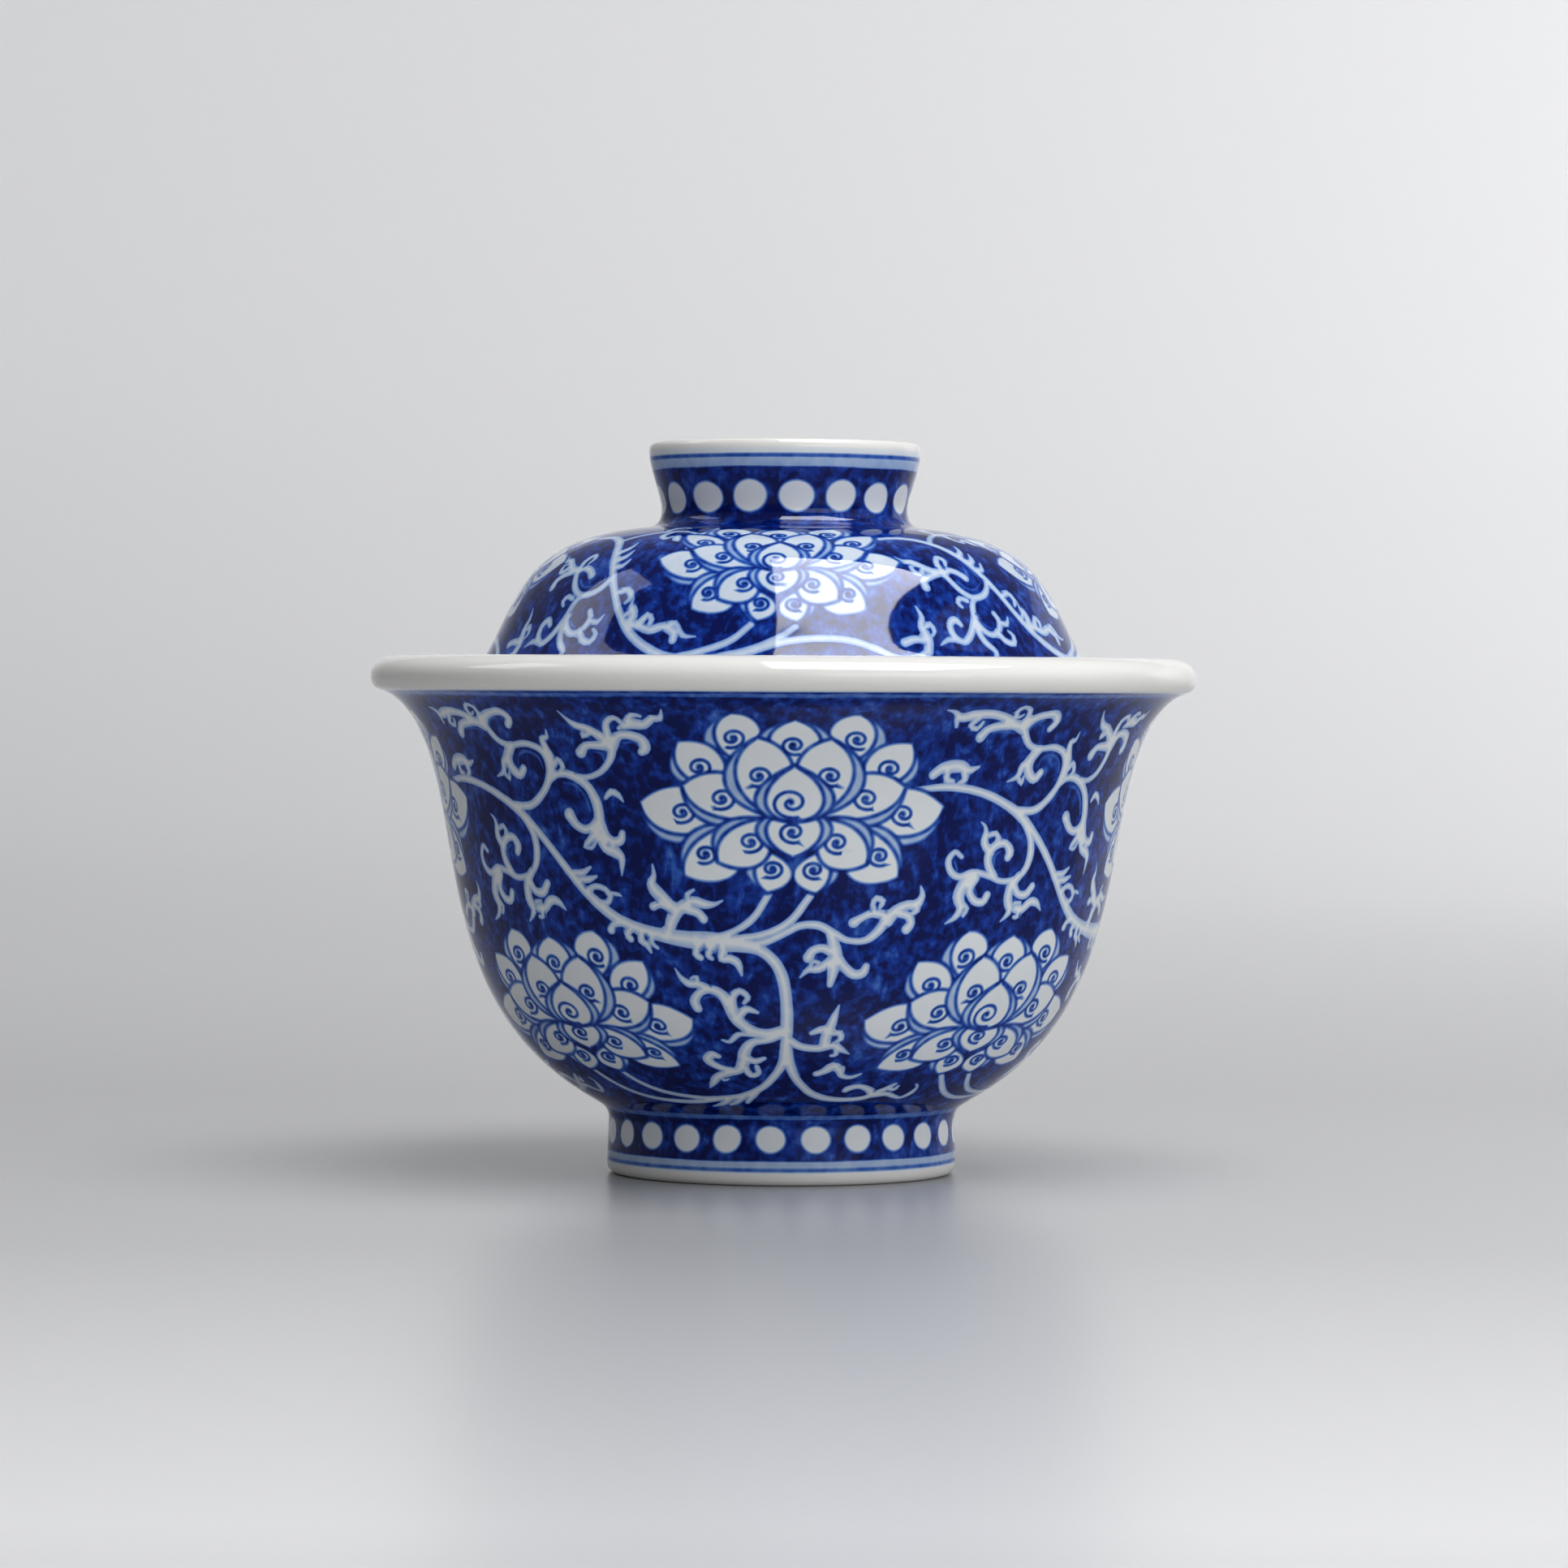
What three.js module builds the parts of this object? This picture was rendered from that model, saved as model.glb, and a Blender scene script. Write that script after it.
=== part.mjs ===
// A covered tea bowl (gaiwan) in glazed porcelain: a flared bowl and the loose lid that sits in its mouth.
// Millimetres, +Z up. The origin is the centre of the ring that the bowl stands on.
// Each piece is one turned body, so each is one closed profile, spun round Z.

import * as THREE from 'three';

// Driving dimensions.
const MOUTH_RADIUS = 52.0;         // widest point of the rolled lip
const LIP_TOP = 65.0;              // height of the lip
const BELLY_RADIUS = 41.9;         // outside, where the belly turns into the flare
const BELLY_TOP = 40.3;
const FOOT_RADIUS = 22.0;
const FOOT_HEIGHT = 6.9;
const FOOT_RING_WIDTH = 2.4;       // the flat, bare ring that touches the table
const RECESS_CEILING = 6.2;        // height of the underside inside the foot ring
const FLOOR = 10.0;                // height of the floor inside the bowl
const WALL = 2.4;                  // porcelain thickness of the wall

const LID_EDGE_RADIUS = 44.4;
const LID_EDGE_HEIGHT = 61.2;      // the lid's edge lies inside the flare, below the lip
const LID_WALL = 2.2;
const DOME_TOP = 81.2;             // where the dome meets the knob
const DOME_INSIDE_TOP = 79.0;
const KNOB_RADIUS = 17.1;          // the knob is an open ring that flares upwards
const KNOB_WAIST_RADIUS = 15.5;
const KNOB_WALL = 2.3;
const KNOB_TOP = 91.9;             // the overall height
const KNOB_FLOOR = 81.8;           // floor of the hollow inside the knob

const TURNS = 56;                  // flat strips round each piece

// A profile is drawn as [radius, height] pairs. It starts and ends on the axis.
class Profile {
  constructor(radius, height) {
    this.points = [new THREE.Vector2(radius, height)];
  }

  line(radius, height) {
    this.points.push(new THREE.Vector2(radius, height));
    return this;
  }

  // A smooth stretch to `end`, pulled by two handles, in `steps` straight steps.
  bend(steps, handle1, handle2, end) {
    const start = this.points[this.points.length - 1];
    const curve = new THREE.CubicBezierCurve(
      start,
      new THREE.Vector2(...handle1),
      new THREE.Vector2(...handle2),
      new THREE.Vector2(...end),
    );
    this.points.push(...curve.getPoints(steps).slice(1));
    return this;
  }

  turn() {
    const geometry = new THREE.LatheGeometry(this.points, TURNS);
    geometry.rotateX(Math.PI / 2);
    return geometry;
  }
}

function piece(name, profile, colour) {
  const glaze = new THREE.MeshStandardMaterial({ color: colour, roughness: 0.12, metalness: 0.0 });
  const mesh = new THREE.Mesh(profile.turn(), glaze);
  mesh.name = name;
  return mesh;
}

function bowl() {
  const ringInside = FOOT_RADIUS - 1.2 - FOOT_RING_WIDTH;
  const bellyInside = BELLY_RADIUS - WALL;
  const profile = new Profile(0, RECESS_CEILING);
  profile
    .line(14.0, RECESS_CEILING - 0.2)
    .bend(3, [16.2, 6.0], [17.2, 5.6], [ringInside - 0.9, 3.8])
    .line(ringInside - 0.4, 0.5)
    .line(ringInside, 0)
    .line(ringInside + FOOT_RING_WIDTH, 0)
    .bend(3, [21.6, 0.1], [FOOT_RADIUS, 0.6], [FOOT_RADIUS, 1.4])
    .line(FOOT_RADIUS - 0.2, FOOT_HEIGHT)
    .bend(4, [FOOT_RADIUS - 0.2, 8.3], [22.7, 8.75], [24.0, 9.5])
    .bend(7, [37.1, 17.0], [39.7, 28.5], [BELLY_RADIUS, BELLY_TOP])
    .bend(6, [42.9, 45.5], [44.4, 59.1], [50.9, 60.7])
    .bend(2, [51.6, 60.9], [MOUTH_RADIUS, 61.6], [MOUTH_RADIUS, 62.4])
    .bend(4, [MOUTH_RADIUS, 64.0], [50.4, LIP_TOP], [48.5, LIP_TOP])
    .bend(3, [47.0, LIP_TOP], [46.2, 63.5], [45.3, 61.9])
    .bend(4, [43.3, 58.3], [41.0, 49.0], [bellyInside, BELLY_TOP])
    .bend(8, [36.5, 20.0], [30.0, FLOOR], [0, FLOOR]);
  return piece('bowl', profile, 0x2a459c);
}

function lid() {
  const knobInside = KNOB_RADIUS - KNOB_WALL;
  const shoulderInside = 37.0 - LID_WALL * 0.9;
  const edgeBottom = LID_EDGE_HEIGHT - 1.0;
  const profile = new Profile(0, DOME_INSIDE_TOP);
  profile
    .bend(8, [30.0, DOME_INSIDE_TOP], [30.9, 73.2], [shoulderInside, 65.0])
    .bend(4, [36.4, 62.2], [38.4, 60.5], [41.8, edgeBottom])
    .line(43.4, edgeBottom)
    .bend(3, [44.0, edgeBottom], [LID_EDGE_RADIUS, edgeBottom + 0.5], [LID_EDGE_RADIUS, LID_EDGE_HEIGHT])
    .bend(3, [LID_EDGE_RADIUS, 61.9], [43.9, 62.2], [43.0, 62.3])
    .bend(4, [40.6, 62.5], [38.5, 63.0], [37.0, 66.0])
    .bend(8, [32.9, 74.2], [31.5, 79.9], [17.5, DOME_TOP])
    .bend(3, [16.2, 81.35], [KNOB_WAIST_RADIUS, 82.0], [KNOB_WAIST_RADIUS, 83.4])
    .bend(4, [KNOB_WAIST_RADIUS, 85.2], [KNOB_RADIUS, 88.6], [KNOB_RADIUS, 90.8])
    .bend(2, [KNOB_RADIUS, 91.5], [16.8, KNOB_TOP], [16.3, KNOB_TOP])
    .line(15.5, KNOB_TOP)
    .bend(2, [15.1, KNOB_TOP], [knobInside, 91.5], [knobInside, 90.9])
    .bend(3, [knobInside, 88.5], [13.1, 86.0], [13.0, 83.8])
    .bend(3, [12.9, 82.4], [11.6, KNOB_FLOOR], [10.0, KNOB_FLOOR])
    .line(0, KNOB_FLOOR);
  return piece('lid', profile, 0x3350a8);
}

const group = new THREE.Group();
group.add(bowl(), lid());

export default group;
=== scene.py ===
"""A covered tea bowl (gaiwan) in blue-and-white porcelain, in a plain studio.

The ware is fired white porcelain. Its cobalt painting lies in thin skins of glaze on the outside of
the bowl and of the lid. Each skin is drawn flat, as if the ware were unrolled, and is then wrapped
round the ware. In the flat drawing a point is (u, s) in millimetres: u runs round the ware and s
runs up the outside of its profile. Whiteness is 0 in the cobalt ground and 1 on bare white glaze.
"""

import math

import bpy
import numpy as np
from mathutils import Matrix, Vector
from mathutils.geometry import delaunay_2d_cdt


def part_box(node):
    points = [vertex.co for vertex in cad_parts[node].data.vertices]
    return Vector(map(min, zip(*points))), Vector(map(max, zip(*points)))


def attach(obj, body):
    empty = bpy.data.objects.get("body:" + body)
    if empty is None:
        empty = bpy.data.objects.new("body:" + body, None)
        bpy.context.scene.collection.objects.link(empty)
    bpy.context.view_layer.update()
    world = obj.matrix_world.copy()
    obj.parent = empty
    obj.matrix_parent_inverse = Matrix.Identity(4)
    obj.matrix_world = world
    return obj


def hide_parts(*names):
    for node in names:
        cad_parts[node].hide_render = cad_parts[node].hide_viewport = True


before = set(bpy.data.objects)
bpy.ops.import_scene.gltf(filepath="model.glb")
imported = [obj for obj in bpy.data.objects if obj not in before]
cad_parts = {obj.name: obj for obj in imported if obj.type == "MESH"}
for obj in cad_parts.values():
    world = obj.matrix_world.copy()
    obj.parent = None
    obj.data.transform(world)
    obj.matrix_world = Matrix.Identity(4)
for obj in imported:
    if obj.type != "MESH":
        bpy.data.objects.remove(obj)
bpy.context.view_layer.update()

MM = 0.001

# ---- Driving sizes, in millimetres ----

BOWL_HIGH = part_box("bowl")[1] / MM
MOUTH = BOWL_HIGH.x                 # radius of the rolled lip
LIP_TOP = BOWL_HIGH.z
BELLY_RADIUS = 41.9                 # outside, where the belly turns into the flare
BELLY_TOP = 40.3
WALL = 2.4                          # porcelain thickness of the wall
FLOOR = 10.0                        # height of the floor inside the bowl
FOOT_RADIUS = 22.0
FOOT_HEIGHT = 6.9
RECESS_CEILING = 6.2                # height of the underside inside the foot ring

LID_LOW, LID_HIGH = (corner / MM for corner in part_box("lid"))
LID_EDGE = LID_HIGH.x               # radius of the lid's hidden edge
LID_FOOT = LID_LOW.z
DOME_TOP = 81.2                     # where the dome meets the knob
DOME_INSIDE_TOP = 79.0
KNOB_TOP = LID_HIGH.z
KNOB_RADIUS = 17.1                  # the knob is an open ring that flares upwards
KNOB_WAIST = 15.5
KNOB_INSIDE = 14.8
KNOB_FLOOR = 81.8                   # floor of the hollow inside the knob

GLAZE = 0.15                        # thickness of a painted skin
BOWL_COLUMNS = 200                  # strips round the bowl: 8 for each of its 25 foot dots
LID_COLUMNS = 204                   # strips round the lid: 12 for each of its 17 knob dots
FOOT_DOTS = 25
KNOB_DOTS = 17
QUARTERS = 4                        # the painted pattern repeats in each quarter turn
QUARTER = 360 // QUARTERS           # degrees

PETAL_WHITE = 0.94                  # a trace of blue stays in the glaze of the petals
EDGE = 0.08                         # half the width of the soft edge of a petal
BRUSH_EDGE = 0.10                   # and of a vine or leaf
LEAF_WEIGHT = 1.40                  # how much broader leaves are painted than their rows say
BRUSH_MIDDLE = 0.55                 # how deep inside a vine its glaze is barest
LINE = 0.42                         # half the width of a painted line, where it fades out
HAIR = 0.02                         # least distance kept between two lines of a painting
STROKE_STEP = 0.72                  # longest straight step along a vine or leaf
STROKE_REACH = 3.0                  # no stroke shows farther than this from its middle line
FAR = 9.0                           # stands for any depth beyond that
GRID = 2.0                          # spacing of the plain points that keep a skin round
BEND = math.radians(9)              # most that a profile turns between two of them


# ---- Curves ----

def bezier(start, handle1, handle2, end, steps):
    """Points of a cubic curve, and the direction of travel at each."""
    t = np.linspace(0, 1, steps + 1)[:, None]
    a, b, c, d = (np.array(point, float) for point in (start, handle1, handle2, end))
    points = (1 - t) ** 3 * a + 3 * (1 - t) ** 2 * t * b + 3 * (1 - t) * t ** 2 * c + t ** 3 * d
    travel = (1 - t) ** 2 * (b - a) + 2 * (1 - t) * t * (c - b) + t ** 2 * (d - c)
    return points, travel / np.linalg.norm(travel, axis=1)[:, None]


def through(rows, steps):
    """A smooth line through rows of (x, y, ...), with the further columns carried along."""
    rows = np.array(rows, float)
    rows = np.vstack([2 * rows[0] - rows[1], rows, 2 * rows[-1] - rows[-2]])
    t = np.linspace(0, 1, steps, endpoint=False)[:, None]
    parts = []
    for a, b, c, d in zip(rows[:-3], rows[1:-2], rows[2:-1], rows[3:]):
        parts.append(0.5 * (2 * b + (c - a) * t + (2 * a - 5 * b + 4 * c - d) * t ** 2
                            + (3 * b - a - 3 * c + d) * t ** 3))
    return np.vstack(parts + [rows[-2:-1]])


def smooth_step(low, high, value):
    t = np.clip((value - low) / (high - low), 0, 1)
    return t * t * (3 - 2 * t)


# ---- Profiles: the outline of a turned piece, as [radius, height] ----

class Profile:
    """Smooth runs drawn one after the other. The outside is on the right of the direction of travel."""

    def __init__(self, radius, height):
        self.end = (radius, height)
        self.runs = []

    def add(self, points, travel, blue=0.0, bare=False):
        normals = np.stack([travel[:, 1], -travel[:, 0]], 1)
        self.runs.append({"points": points, "normals": normals, "blue": blue, "bare": bare})
        self.end = tuple(points[-1])
        return self

    def line(self, radius, height, bare=False):
        points = np.array([self.end, (radius, height)], float)
        travel = points[1] - points[0]
        travel = np.tile(travel / np.linalg.norm(travel), (2, 1))
        return self.add(points, travel, bare=bare)

    def bend(self, steps, handle1, handle2, end, bare=False):
        points, travel = bezier(self.end, handle1, handle2, end, steps)
        return self.add(points, travel, bare=bare)

    def under(self, surface):
        """Follows the bed of a painted skin, which lies GLAZE deep in the piece."""
        radius, height, out_r, out_z = surface.section(surface.rows())
        bed = np.stack([radius - GLAZE * out_r, height - GLAZE * out_z], 1)
        self.line(*bed[0])
        self.add(bed, np.stack([-out_z, out_r], 1), blue=1.0)
        return self.line(radius[-1], height[-1])


class Surface:
    """The outside of a piece between two heights, measured along its profile.

    reference is the radius at which u is true to size. s is start at the first point of the profile,
    or 0 at the height zero, if that is given.
    """

    def __init__(self, profile, reference, start=0.0, zero=None):
        points = np.vstack([run["points"] for run in profile.runs])
        normals = np.vstack([run["normals"] for run in profile.runs])
        length = np.hypot(*np.diff(points, axis=0).T)
        keep = np.append(True, length > 1e-9)
        self.s = start + np.append(0, np.cumsum(length))[keep]
        self.points = points[keep]
        self.normals = normals[keep]
        if zero is not None:
            self.s -= self.at_height(zero)
        self.reference = reference
        self.low, self.high = self.s[0], self.s[-1]

    def at_height(self, height):
        return np.interp(height, self.points[:, 1], self.s)

    def rows(self):
        """Values of s that are GRID apart, or closer together where the profile bends."""
        turn = np.abs(np.diff(np.unwrap(np.arctan2(self.normals[:, 1], self.normals[:, 0]))))
        measure = np.append(0, np.cumsum(np.diff(self.s) / GRID + turn / BEND))
        steps = max(2, math.ceil(measure[-1]))
        return np.interp(np.linspace(0, measure[-1], steps + 1), measure, self.s)

    def section(self, s):
        """Radius, height and outward direction at s."""
        columns = [self.points[:, 0], self.points[:, 1], self.normals[:, 0], self.normals[:, 1]]
        radius, height, out_r, out_z = (np.interp(s, self.s, column) for column in columns)
        size = np.hypot(out_r, out_z)
        return radius, height, out_r / size, out_z / size

    def stretch(self, s):
        """Millimetres on the ware for each millimetre of u."""
        return np.interp(s, self.s, self.points[:, 0]) / self.reference

    def u(self, degrees):
        return np.radians(degrees) * self.reference

    def local(self, points, degrees, height):
        """Turns points drawn in millimetres round a centre into (u, s)."""
        s = height + points[:, 1]
        return np.stack([self.u(degrees) + points[:, 0] / self.stretch(s), s], 1)

    def wrap(self, flat, depth=0.0):
        """The place in space of each flat point, and its outward direction."""
        u, s = drift(self, flat)
        radius, height, out_r, out_z = self.section(s)
        radius = radius - depth * out_r
        height = height - depth * out_z
        sine, cosine = np.sin(u / self.reference), np.cos(u / self.reference)
        place = np.stack([radius * sine, -radius * cosine, height], 1)
        return place, np.stack([out_r * sine, -out_r * cosine, out_z], 1)


def drift(surface, flat):
    """The unsteadiness of a painting hand: slow waves that close round the ware and fade at its edges."""
    u, s = flat[:, 0], flat[:, 1]
    angle = u / surface.reference
    fade = smooth_step(surface.low, surface.low + 6, s) * smooth_step(surface.high, surface.high - 6, s)
    across = 0.20 * np.sin(3 * angle + 0.11 * s + 1.0) + 0.12 * np.sin(7 * angle - 0.23 * s)
    along = 0.18 * np.sin(2 * angle + 0.17 * s + 0.4) + 0.10 * np.sin(9 * angle + 0.31 * s + 2.0)
    return u + fade * across / surface.stretch(s), s + fade * along


# ---- Marks: the shapes of the painting ----

def sideways(surface, line, offset):
    """The line moved to its left by offset millimetres, as measured on the ware."""
    scale = np.stack([surface.stretch(line[:, 1]), np.ones(len(line))], 1)
    travel = np.gradient(line, axis=0) * scale
    travel /= np.linalg.norm(travel, axis=1)[:, None] + 1e-9
    left = np.stack([-travel[:, 1], travel[:, 0]], 1)
    return line + left * np.reshape(offset, (-1, 1)) / scale


def sideways_round(surface, outline, offset):
    """As sideways, for a closed outline."""
    ring = np.vstack([outline[-2:], outline, outline[:2]])
    return sideways(surface, ring, offset)[2:-2]


def distance(surface, points, line, widths=None):
    """Least distance on the ware from each point to the line, less the line's half width, if any."""
    scale = surface.stretch(points[:, 1])[:, None]
    ax = (line[None, :-1, 0] - points[:, :1]) * scale
    ay = line[None, :-1, 1] - points[:, 1:]
    bx = (line[None, 1:, 0] - points[:, :1]) * scale
    by = line[None, 1:, 1] - points[:, 1:]
    dx, dy = bx - ax, by - ay
    t = np.clip(-(ax * dx + ay * dy) / (dx * dx + dy * dy + 1e-12), 0, 1)
    gap = np.hypot(ax + t * dx, ay + t * dy)
    if widths is not None:
        gap = gap - (widths[None, :-1] * (1 - t) + widths[None, 1:] * t)
    return gap.min(1)


def inside(points, outline):
    """Whether each point lies in the closed outline."""
    x, y = points[:, :1], points[:, 1:]
    ax, ay = outline[None, :, 0], outline[None, :, 1]
    bx, by = np.roll(outline[:, 0], -1)[None], np.roll(outline[:, 1], -1)[None]
    crosses = (ay > y) != (by > y)
    at = ax + (y - ay) * (bx - ax) / np.where(by == ay, 1e-12, by - ay)
    return (crosses & (x < at)).sum(1) % 2 == 1


class Mark:
    """A shape of the painting. reach is how far past its own points it shows."""

    def __init__(self, surface, points, reach):
        self.surface = surface
        self.low = points.min(0) - reach / surface.stretch(points[:, 1]).min()
        self.high = points.max(0) + reach / surface.stretch(points[:, 1]).min()

    def near(self, points):
        return np.all((points > self.low) & (points < self.high), axis=1)

    def hides(self, points):
        return np.zeros(len(points), bool)


class Patch(Mark):
    """An area with a closed outline that is left at one whiteness, whatever lies under it."""

    def __init__(self, surface, outline, white=PETAL_WHITE, edge=EDGE):
        super().__init__(surface, outline, edge)
        self.outline, self.white, self.edge = outline, white, edge

    def depth(self, points):
        ring = np.vstack([self.outline, self.outline[:1]])
        gap = distance(self.surface, points, ring)
        return np.where(inside(points, self.outline), gap, -gap)

    def paint(self, points, white):
        cover = np.clip(0.5 + 0.5 * self.depth(points) / self.edge, 0, 1)
        return white + (self.white - white) * cover

    def hides(self, points):
        return self.depth(points) > LINE + HAIR

    def rails(self):
        rings = [sideways_round(self.surface, self.outline, side * self.edge) for side in (-1, 1)]
        return [np.vstack([ring, ring[:1]]) for ring in rings]


class Line(Mark):
    """A painted blue line, darkest along its middle."""

    def __init__(self, surface, line, strength=0.84, half=LINE):
        super().__init__(surface, line, half)
        self.line, self.strength, self.half = line, strength, half

    def paint(self, points, white):
        cover = np.clip(1 - distance(self.surface, points, self.line) / self.half, 0, 1)
        return white * (1 - self.strength * cover)

    def rails(self):
        return [sideways(self.surface, self.line, side * self.half) for side in (-1, 0, 1)]


class Scroll(Mark):
    """Brush strokes left white in the ground, which run together where they meet."""

    def __init__(self, surface, strokes, edge_white, middle_white):
        self.strokes = [through_stroke(surface, stroke) for stroke in strokes]
        super().__init__(surface, np.vstack([line for line, half in self.strokes]), STROKE_REACH / 2)
        self.edge_white, self.middle_white = edge_white, middle_white

    def depth(self, points, skip=None):
        """How deep each point lies inside the strokes, all but the one numbered skip."""
        depth = np.full(len(points), -FAR)
        for number, (line, half) in enumerate(self.strokes):
            if number == skip:
                continue
            low, high = line.min(0) - STROKE_REACH, line.max(0) + STROKE_REACH
            close = np.all((points > low) & (points < high), axis=1)
            if close.any():
                gap = -distance(self.surface, points[close], line, half)
                depth[close] = np.maximum(depth[close], gap)
        return depth

    def paint(self, points, white):
        depth = self.depth(points)
        cover = np.clip(0.5 + 0.5 * depth / BRUSH_EDGE, 0, 1)
        stroke = np.interp(depth, (BRUSH_EDGE, BRUSH_MIDDLE), (self.edge_white, self.middle_white))
        return white + (stroke - white) * cover

    def rails(self):
        rails = []
        for number, (line, half) in enumerate(self.strokes):
            for side in (-1, 1):
                ring = stroke_outline(self.surface, line, half + side * BRUSH_EDGE)
                buried = self.depth(ring, skip=number) > BRUSH_EDGE + HAIR
                rails += unbroken(ring, buried)
            rails.append(line)
        return rails


def through_stroke(surface, stroke):
    """Turns rows of (degrees, s, width) into a smooth line and its half widths."""
    rows = np.array(stroke, float)
    rows[:, 0] = surface.u(rows[:, 0])
    reach = np.hypot(*(np.diff(rows[:, :2], axis=0).T))
    line = through(rows, max(2, int(np.ceil(reach.max() / STROKE_STEP))))
    return line[:, :2], np.maximum(line[:, 2] / 2, BRUSH_EDGE + HAIR)


def stroke_outline(surface, line, half):
    """The closed outline of a stroke, with round ends."""
    left = sideways(surface, line, half)
    right = sideways(surface, line, -half)
    return np.vstack([left, round_end(surface, line[-1], left[-1], half[-1]),
                      right[::-1], round_end(surface, line[0], right[0], half[0]), left[:1]])


def round_end(surface, centre, start, radius, steps=6):
    scale = np.array([surface.stretch(centre[1]), 1.0])
    first = (start - centre) * scale
    angle = math.atan2(first[1], first[0]) - np.linspace(0, math.pi, steps + 1)[1:-1]
    return centre + radius * np.stack([np.cos(angle), np.sin(angle)], 1) / scale


def unbroken(line, dropped):
    """Cuts the line where its points are dropped, and returns the stretches that are left."""
    parts, part = [], []
    for point, drop in zip(line, dropped):
        if drop:
            if len(part) > 1:
                parts.append(np.array(part))
            part = []
        else:
            part.append(point)
    return parts + ([np.array(part)] if len(part) > 1 else [])


# ---- The lotus flower ----

# Each petal of the right-hand side, in millimetres round the flower's centre, from back to front:
# base, two handles up its outer side, tip, two handles down its inner side; the eye of its spiral
# and that spiral's radius; the share of its width that is turned over along its outer side.
SIDE_PETALS = {
    "top": ([(5.8, 6.2), (11.4, 7.6), (11.6, 11.4), (7.9, 13.1), (5.2, 13.0), (3.2, 9.8)],
            (7.45, 9.6, 1.3), 0.2),
    "upper": ([(8, 3), (14.5, 3.4), (15.6, 6.4), (14.3, 9.3), (11.2, 9.4), (8, 7.6)],
              (11.4, 5.9, 1.35), 0.17),
    "far": ([(7, -1), (12, -4.6), (17.5, -3.8), (18.7, 1.3), (16, 3.2), (11.5, 4.2)],
            (13.2, 0.1, 1.4), 0.16),
    "low_outer": ([(6.5, -1), (11.6, -1.6), (13.8, -4.6), (13, -7.8), (9.8, -9), (4.5, -8.2)],
                  (10.4, -5.1, 1.2), 0.16),
    "bottom": ([(2.6, -4.6), (6.4, -5.6), (5.4, -8.4), (3, -9.8), (0.6, -9.2), (-0.9, -6.6)],
               (2.5, -6.75, 1.15), 0.2),
    "side": ([(3, -0.6), (8.5, -1.8), (12.4, -0.6), (13.4, 3.6), (10.8, 5.6), (6, 5.6)],
             (8.5, 2, 1.4), 0.17),
    "low_inner": ([(3.4, -0.4), (8.6, -0.4), (9.9, -3.4), (8.9, -6.1), (6.4, -7.2), (1.6, -6.4)],
                  (5.1, -3.4, 1.35), 0.17),
    "inner": ([(2.2, -0.2), (8.2, 1.4), (9.4, 7), (4.4, 9.7), (1.6, 8.6), (-0.8, 5)],
              (4.2, 4.8, 1.3), 0.17),
}
MIDDLE_PETALS = {
    "crest": ([(0, 6), (5.2, 8.2), (4.2, 11), (0, 12.3), (-4.2, 11), (-5.2, 8.2)],
              (-0.1, 8.7, 1.25), 0.15),
    "chin": ([(0, 0.5), (4.6, 0.4), (4.9, -3.6), (-0.1, -5.3), (-4.9, -3.6), (-4.6, 0.4)],
             (-0.2, -2.1, 1.35), 0.13),
    "bud": ([(0, -0.8), (4.2, -0.8), (5.6, 3.2), (0, 6.1), (-5.6, 3.2), (-4.2, -0.8)],
            (-0.4, 1.5, 1.9), 0.13),
}
FLOWER_ORDER = ["top", "crest", "upper", "far", "low_outer", "bottom", "side", "low_inner", "inner",
                "chin", "bud"]

FOLD_WHITE = 0.72                   # the pale wash on a petal's turned-over edge
FULLNESS = 1.24                     # how much wider a petal is than its handles alone make it
PETAL_STEPS = 26
EYE_TURNS = 1.7
EYE_STEPS = 36
EYE_START = 1.2                     # radians below the level at which the spiral begins
EYE_LINE = (0.95, LINE * 0.85)      # strength and half width of the spiral
PUPIL_LINE = (0.90, LINE * 1.2)     # and of its dark inner end
PUPIL_STEPS = 5


def petal_marks(place, petal, hand, folds):
    """A petal: white, with a pale turned edge behind a line, a spiral with a dark eye, an outline."""
    corners, (eye_x, eye_y, eye_radius), fold = petal
    mirror = np.array([hand, 1])
    base, handle1, handle2, tip, handle3, handle4 = (np.array(corner) * mirror for corner in corners)
    outer = bezier(base, handle1, handle2, tip, PETAL_STEPS)[0]
    inner = bezier(base, handle4, handle3, tip, PETAL_STEPS)[0]
    swell = (outer - inner) * (FULLNESS - 1) / 2
    outer, inner = outer + swell, inner - swell
    outline = np.vstack([outer, inner[-2:0:-1]])
    marks = [Patch(place.surface, place(outline))]
    for side, other in ((outer, inner), (inner, outer))[:folds]:
        crease = side * (1 - fold) + other * fold
        strip = np.vstack([side, crease[-2:0:-1]])
        marks.append(Patch(place.surface, place(strip), FOLD_WHITE))
        marks.append(Line(place.surface, place(crease[1:-1])))
    eye = np.array([eye_x, eye_y]) * mirror
    spiral = eye_spiral(eye, eye_radius, hand)
    marks.append(Line(place.surface, place(spiral), *EYE_LINE))
    marks.append(Line(place.surface, place(spiral[-PUPIL_STEPS:]), *PUPIL_LINE))
    ring = np.vstack([outline, outline[:1]])
    marks.append(Line(place.surface, place(ring)))
    return marks


def eye_spiral(eye, radius, hand):
    """A spiral that curls in from the side of the petal's base to a dark eye."""
    t = np.linspace(0, 1, EYE_STEPS)[:, None]
    angle = -hand * 2 * math.pi * EYE_TURNS * t + (-EYE_START if hand > 0 else math.pi + EYE_START)
    reach = 1.12 * radius * (1 - t) ** 0.9
    return eye + reach * np.hstack([1.1 * np.cos(angle), 0.9 * np.sin(angle)])


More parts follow.
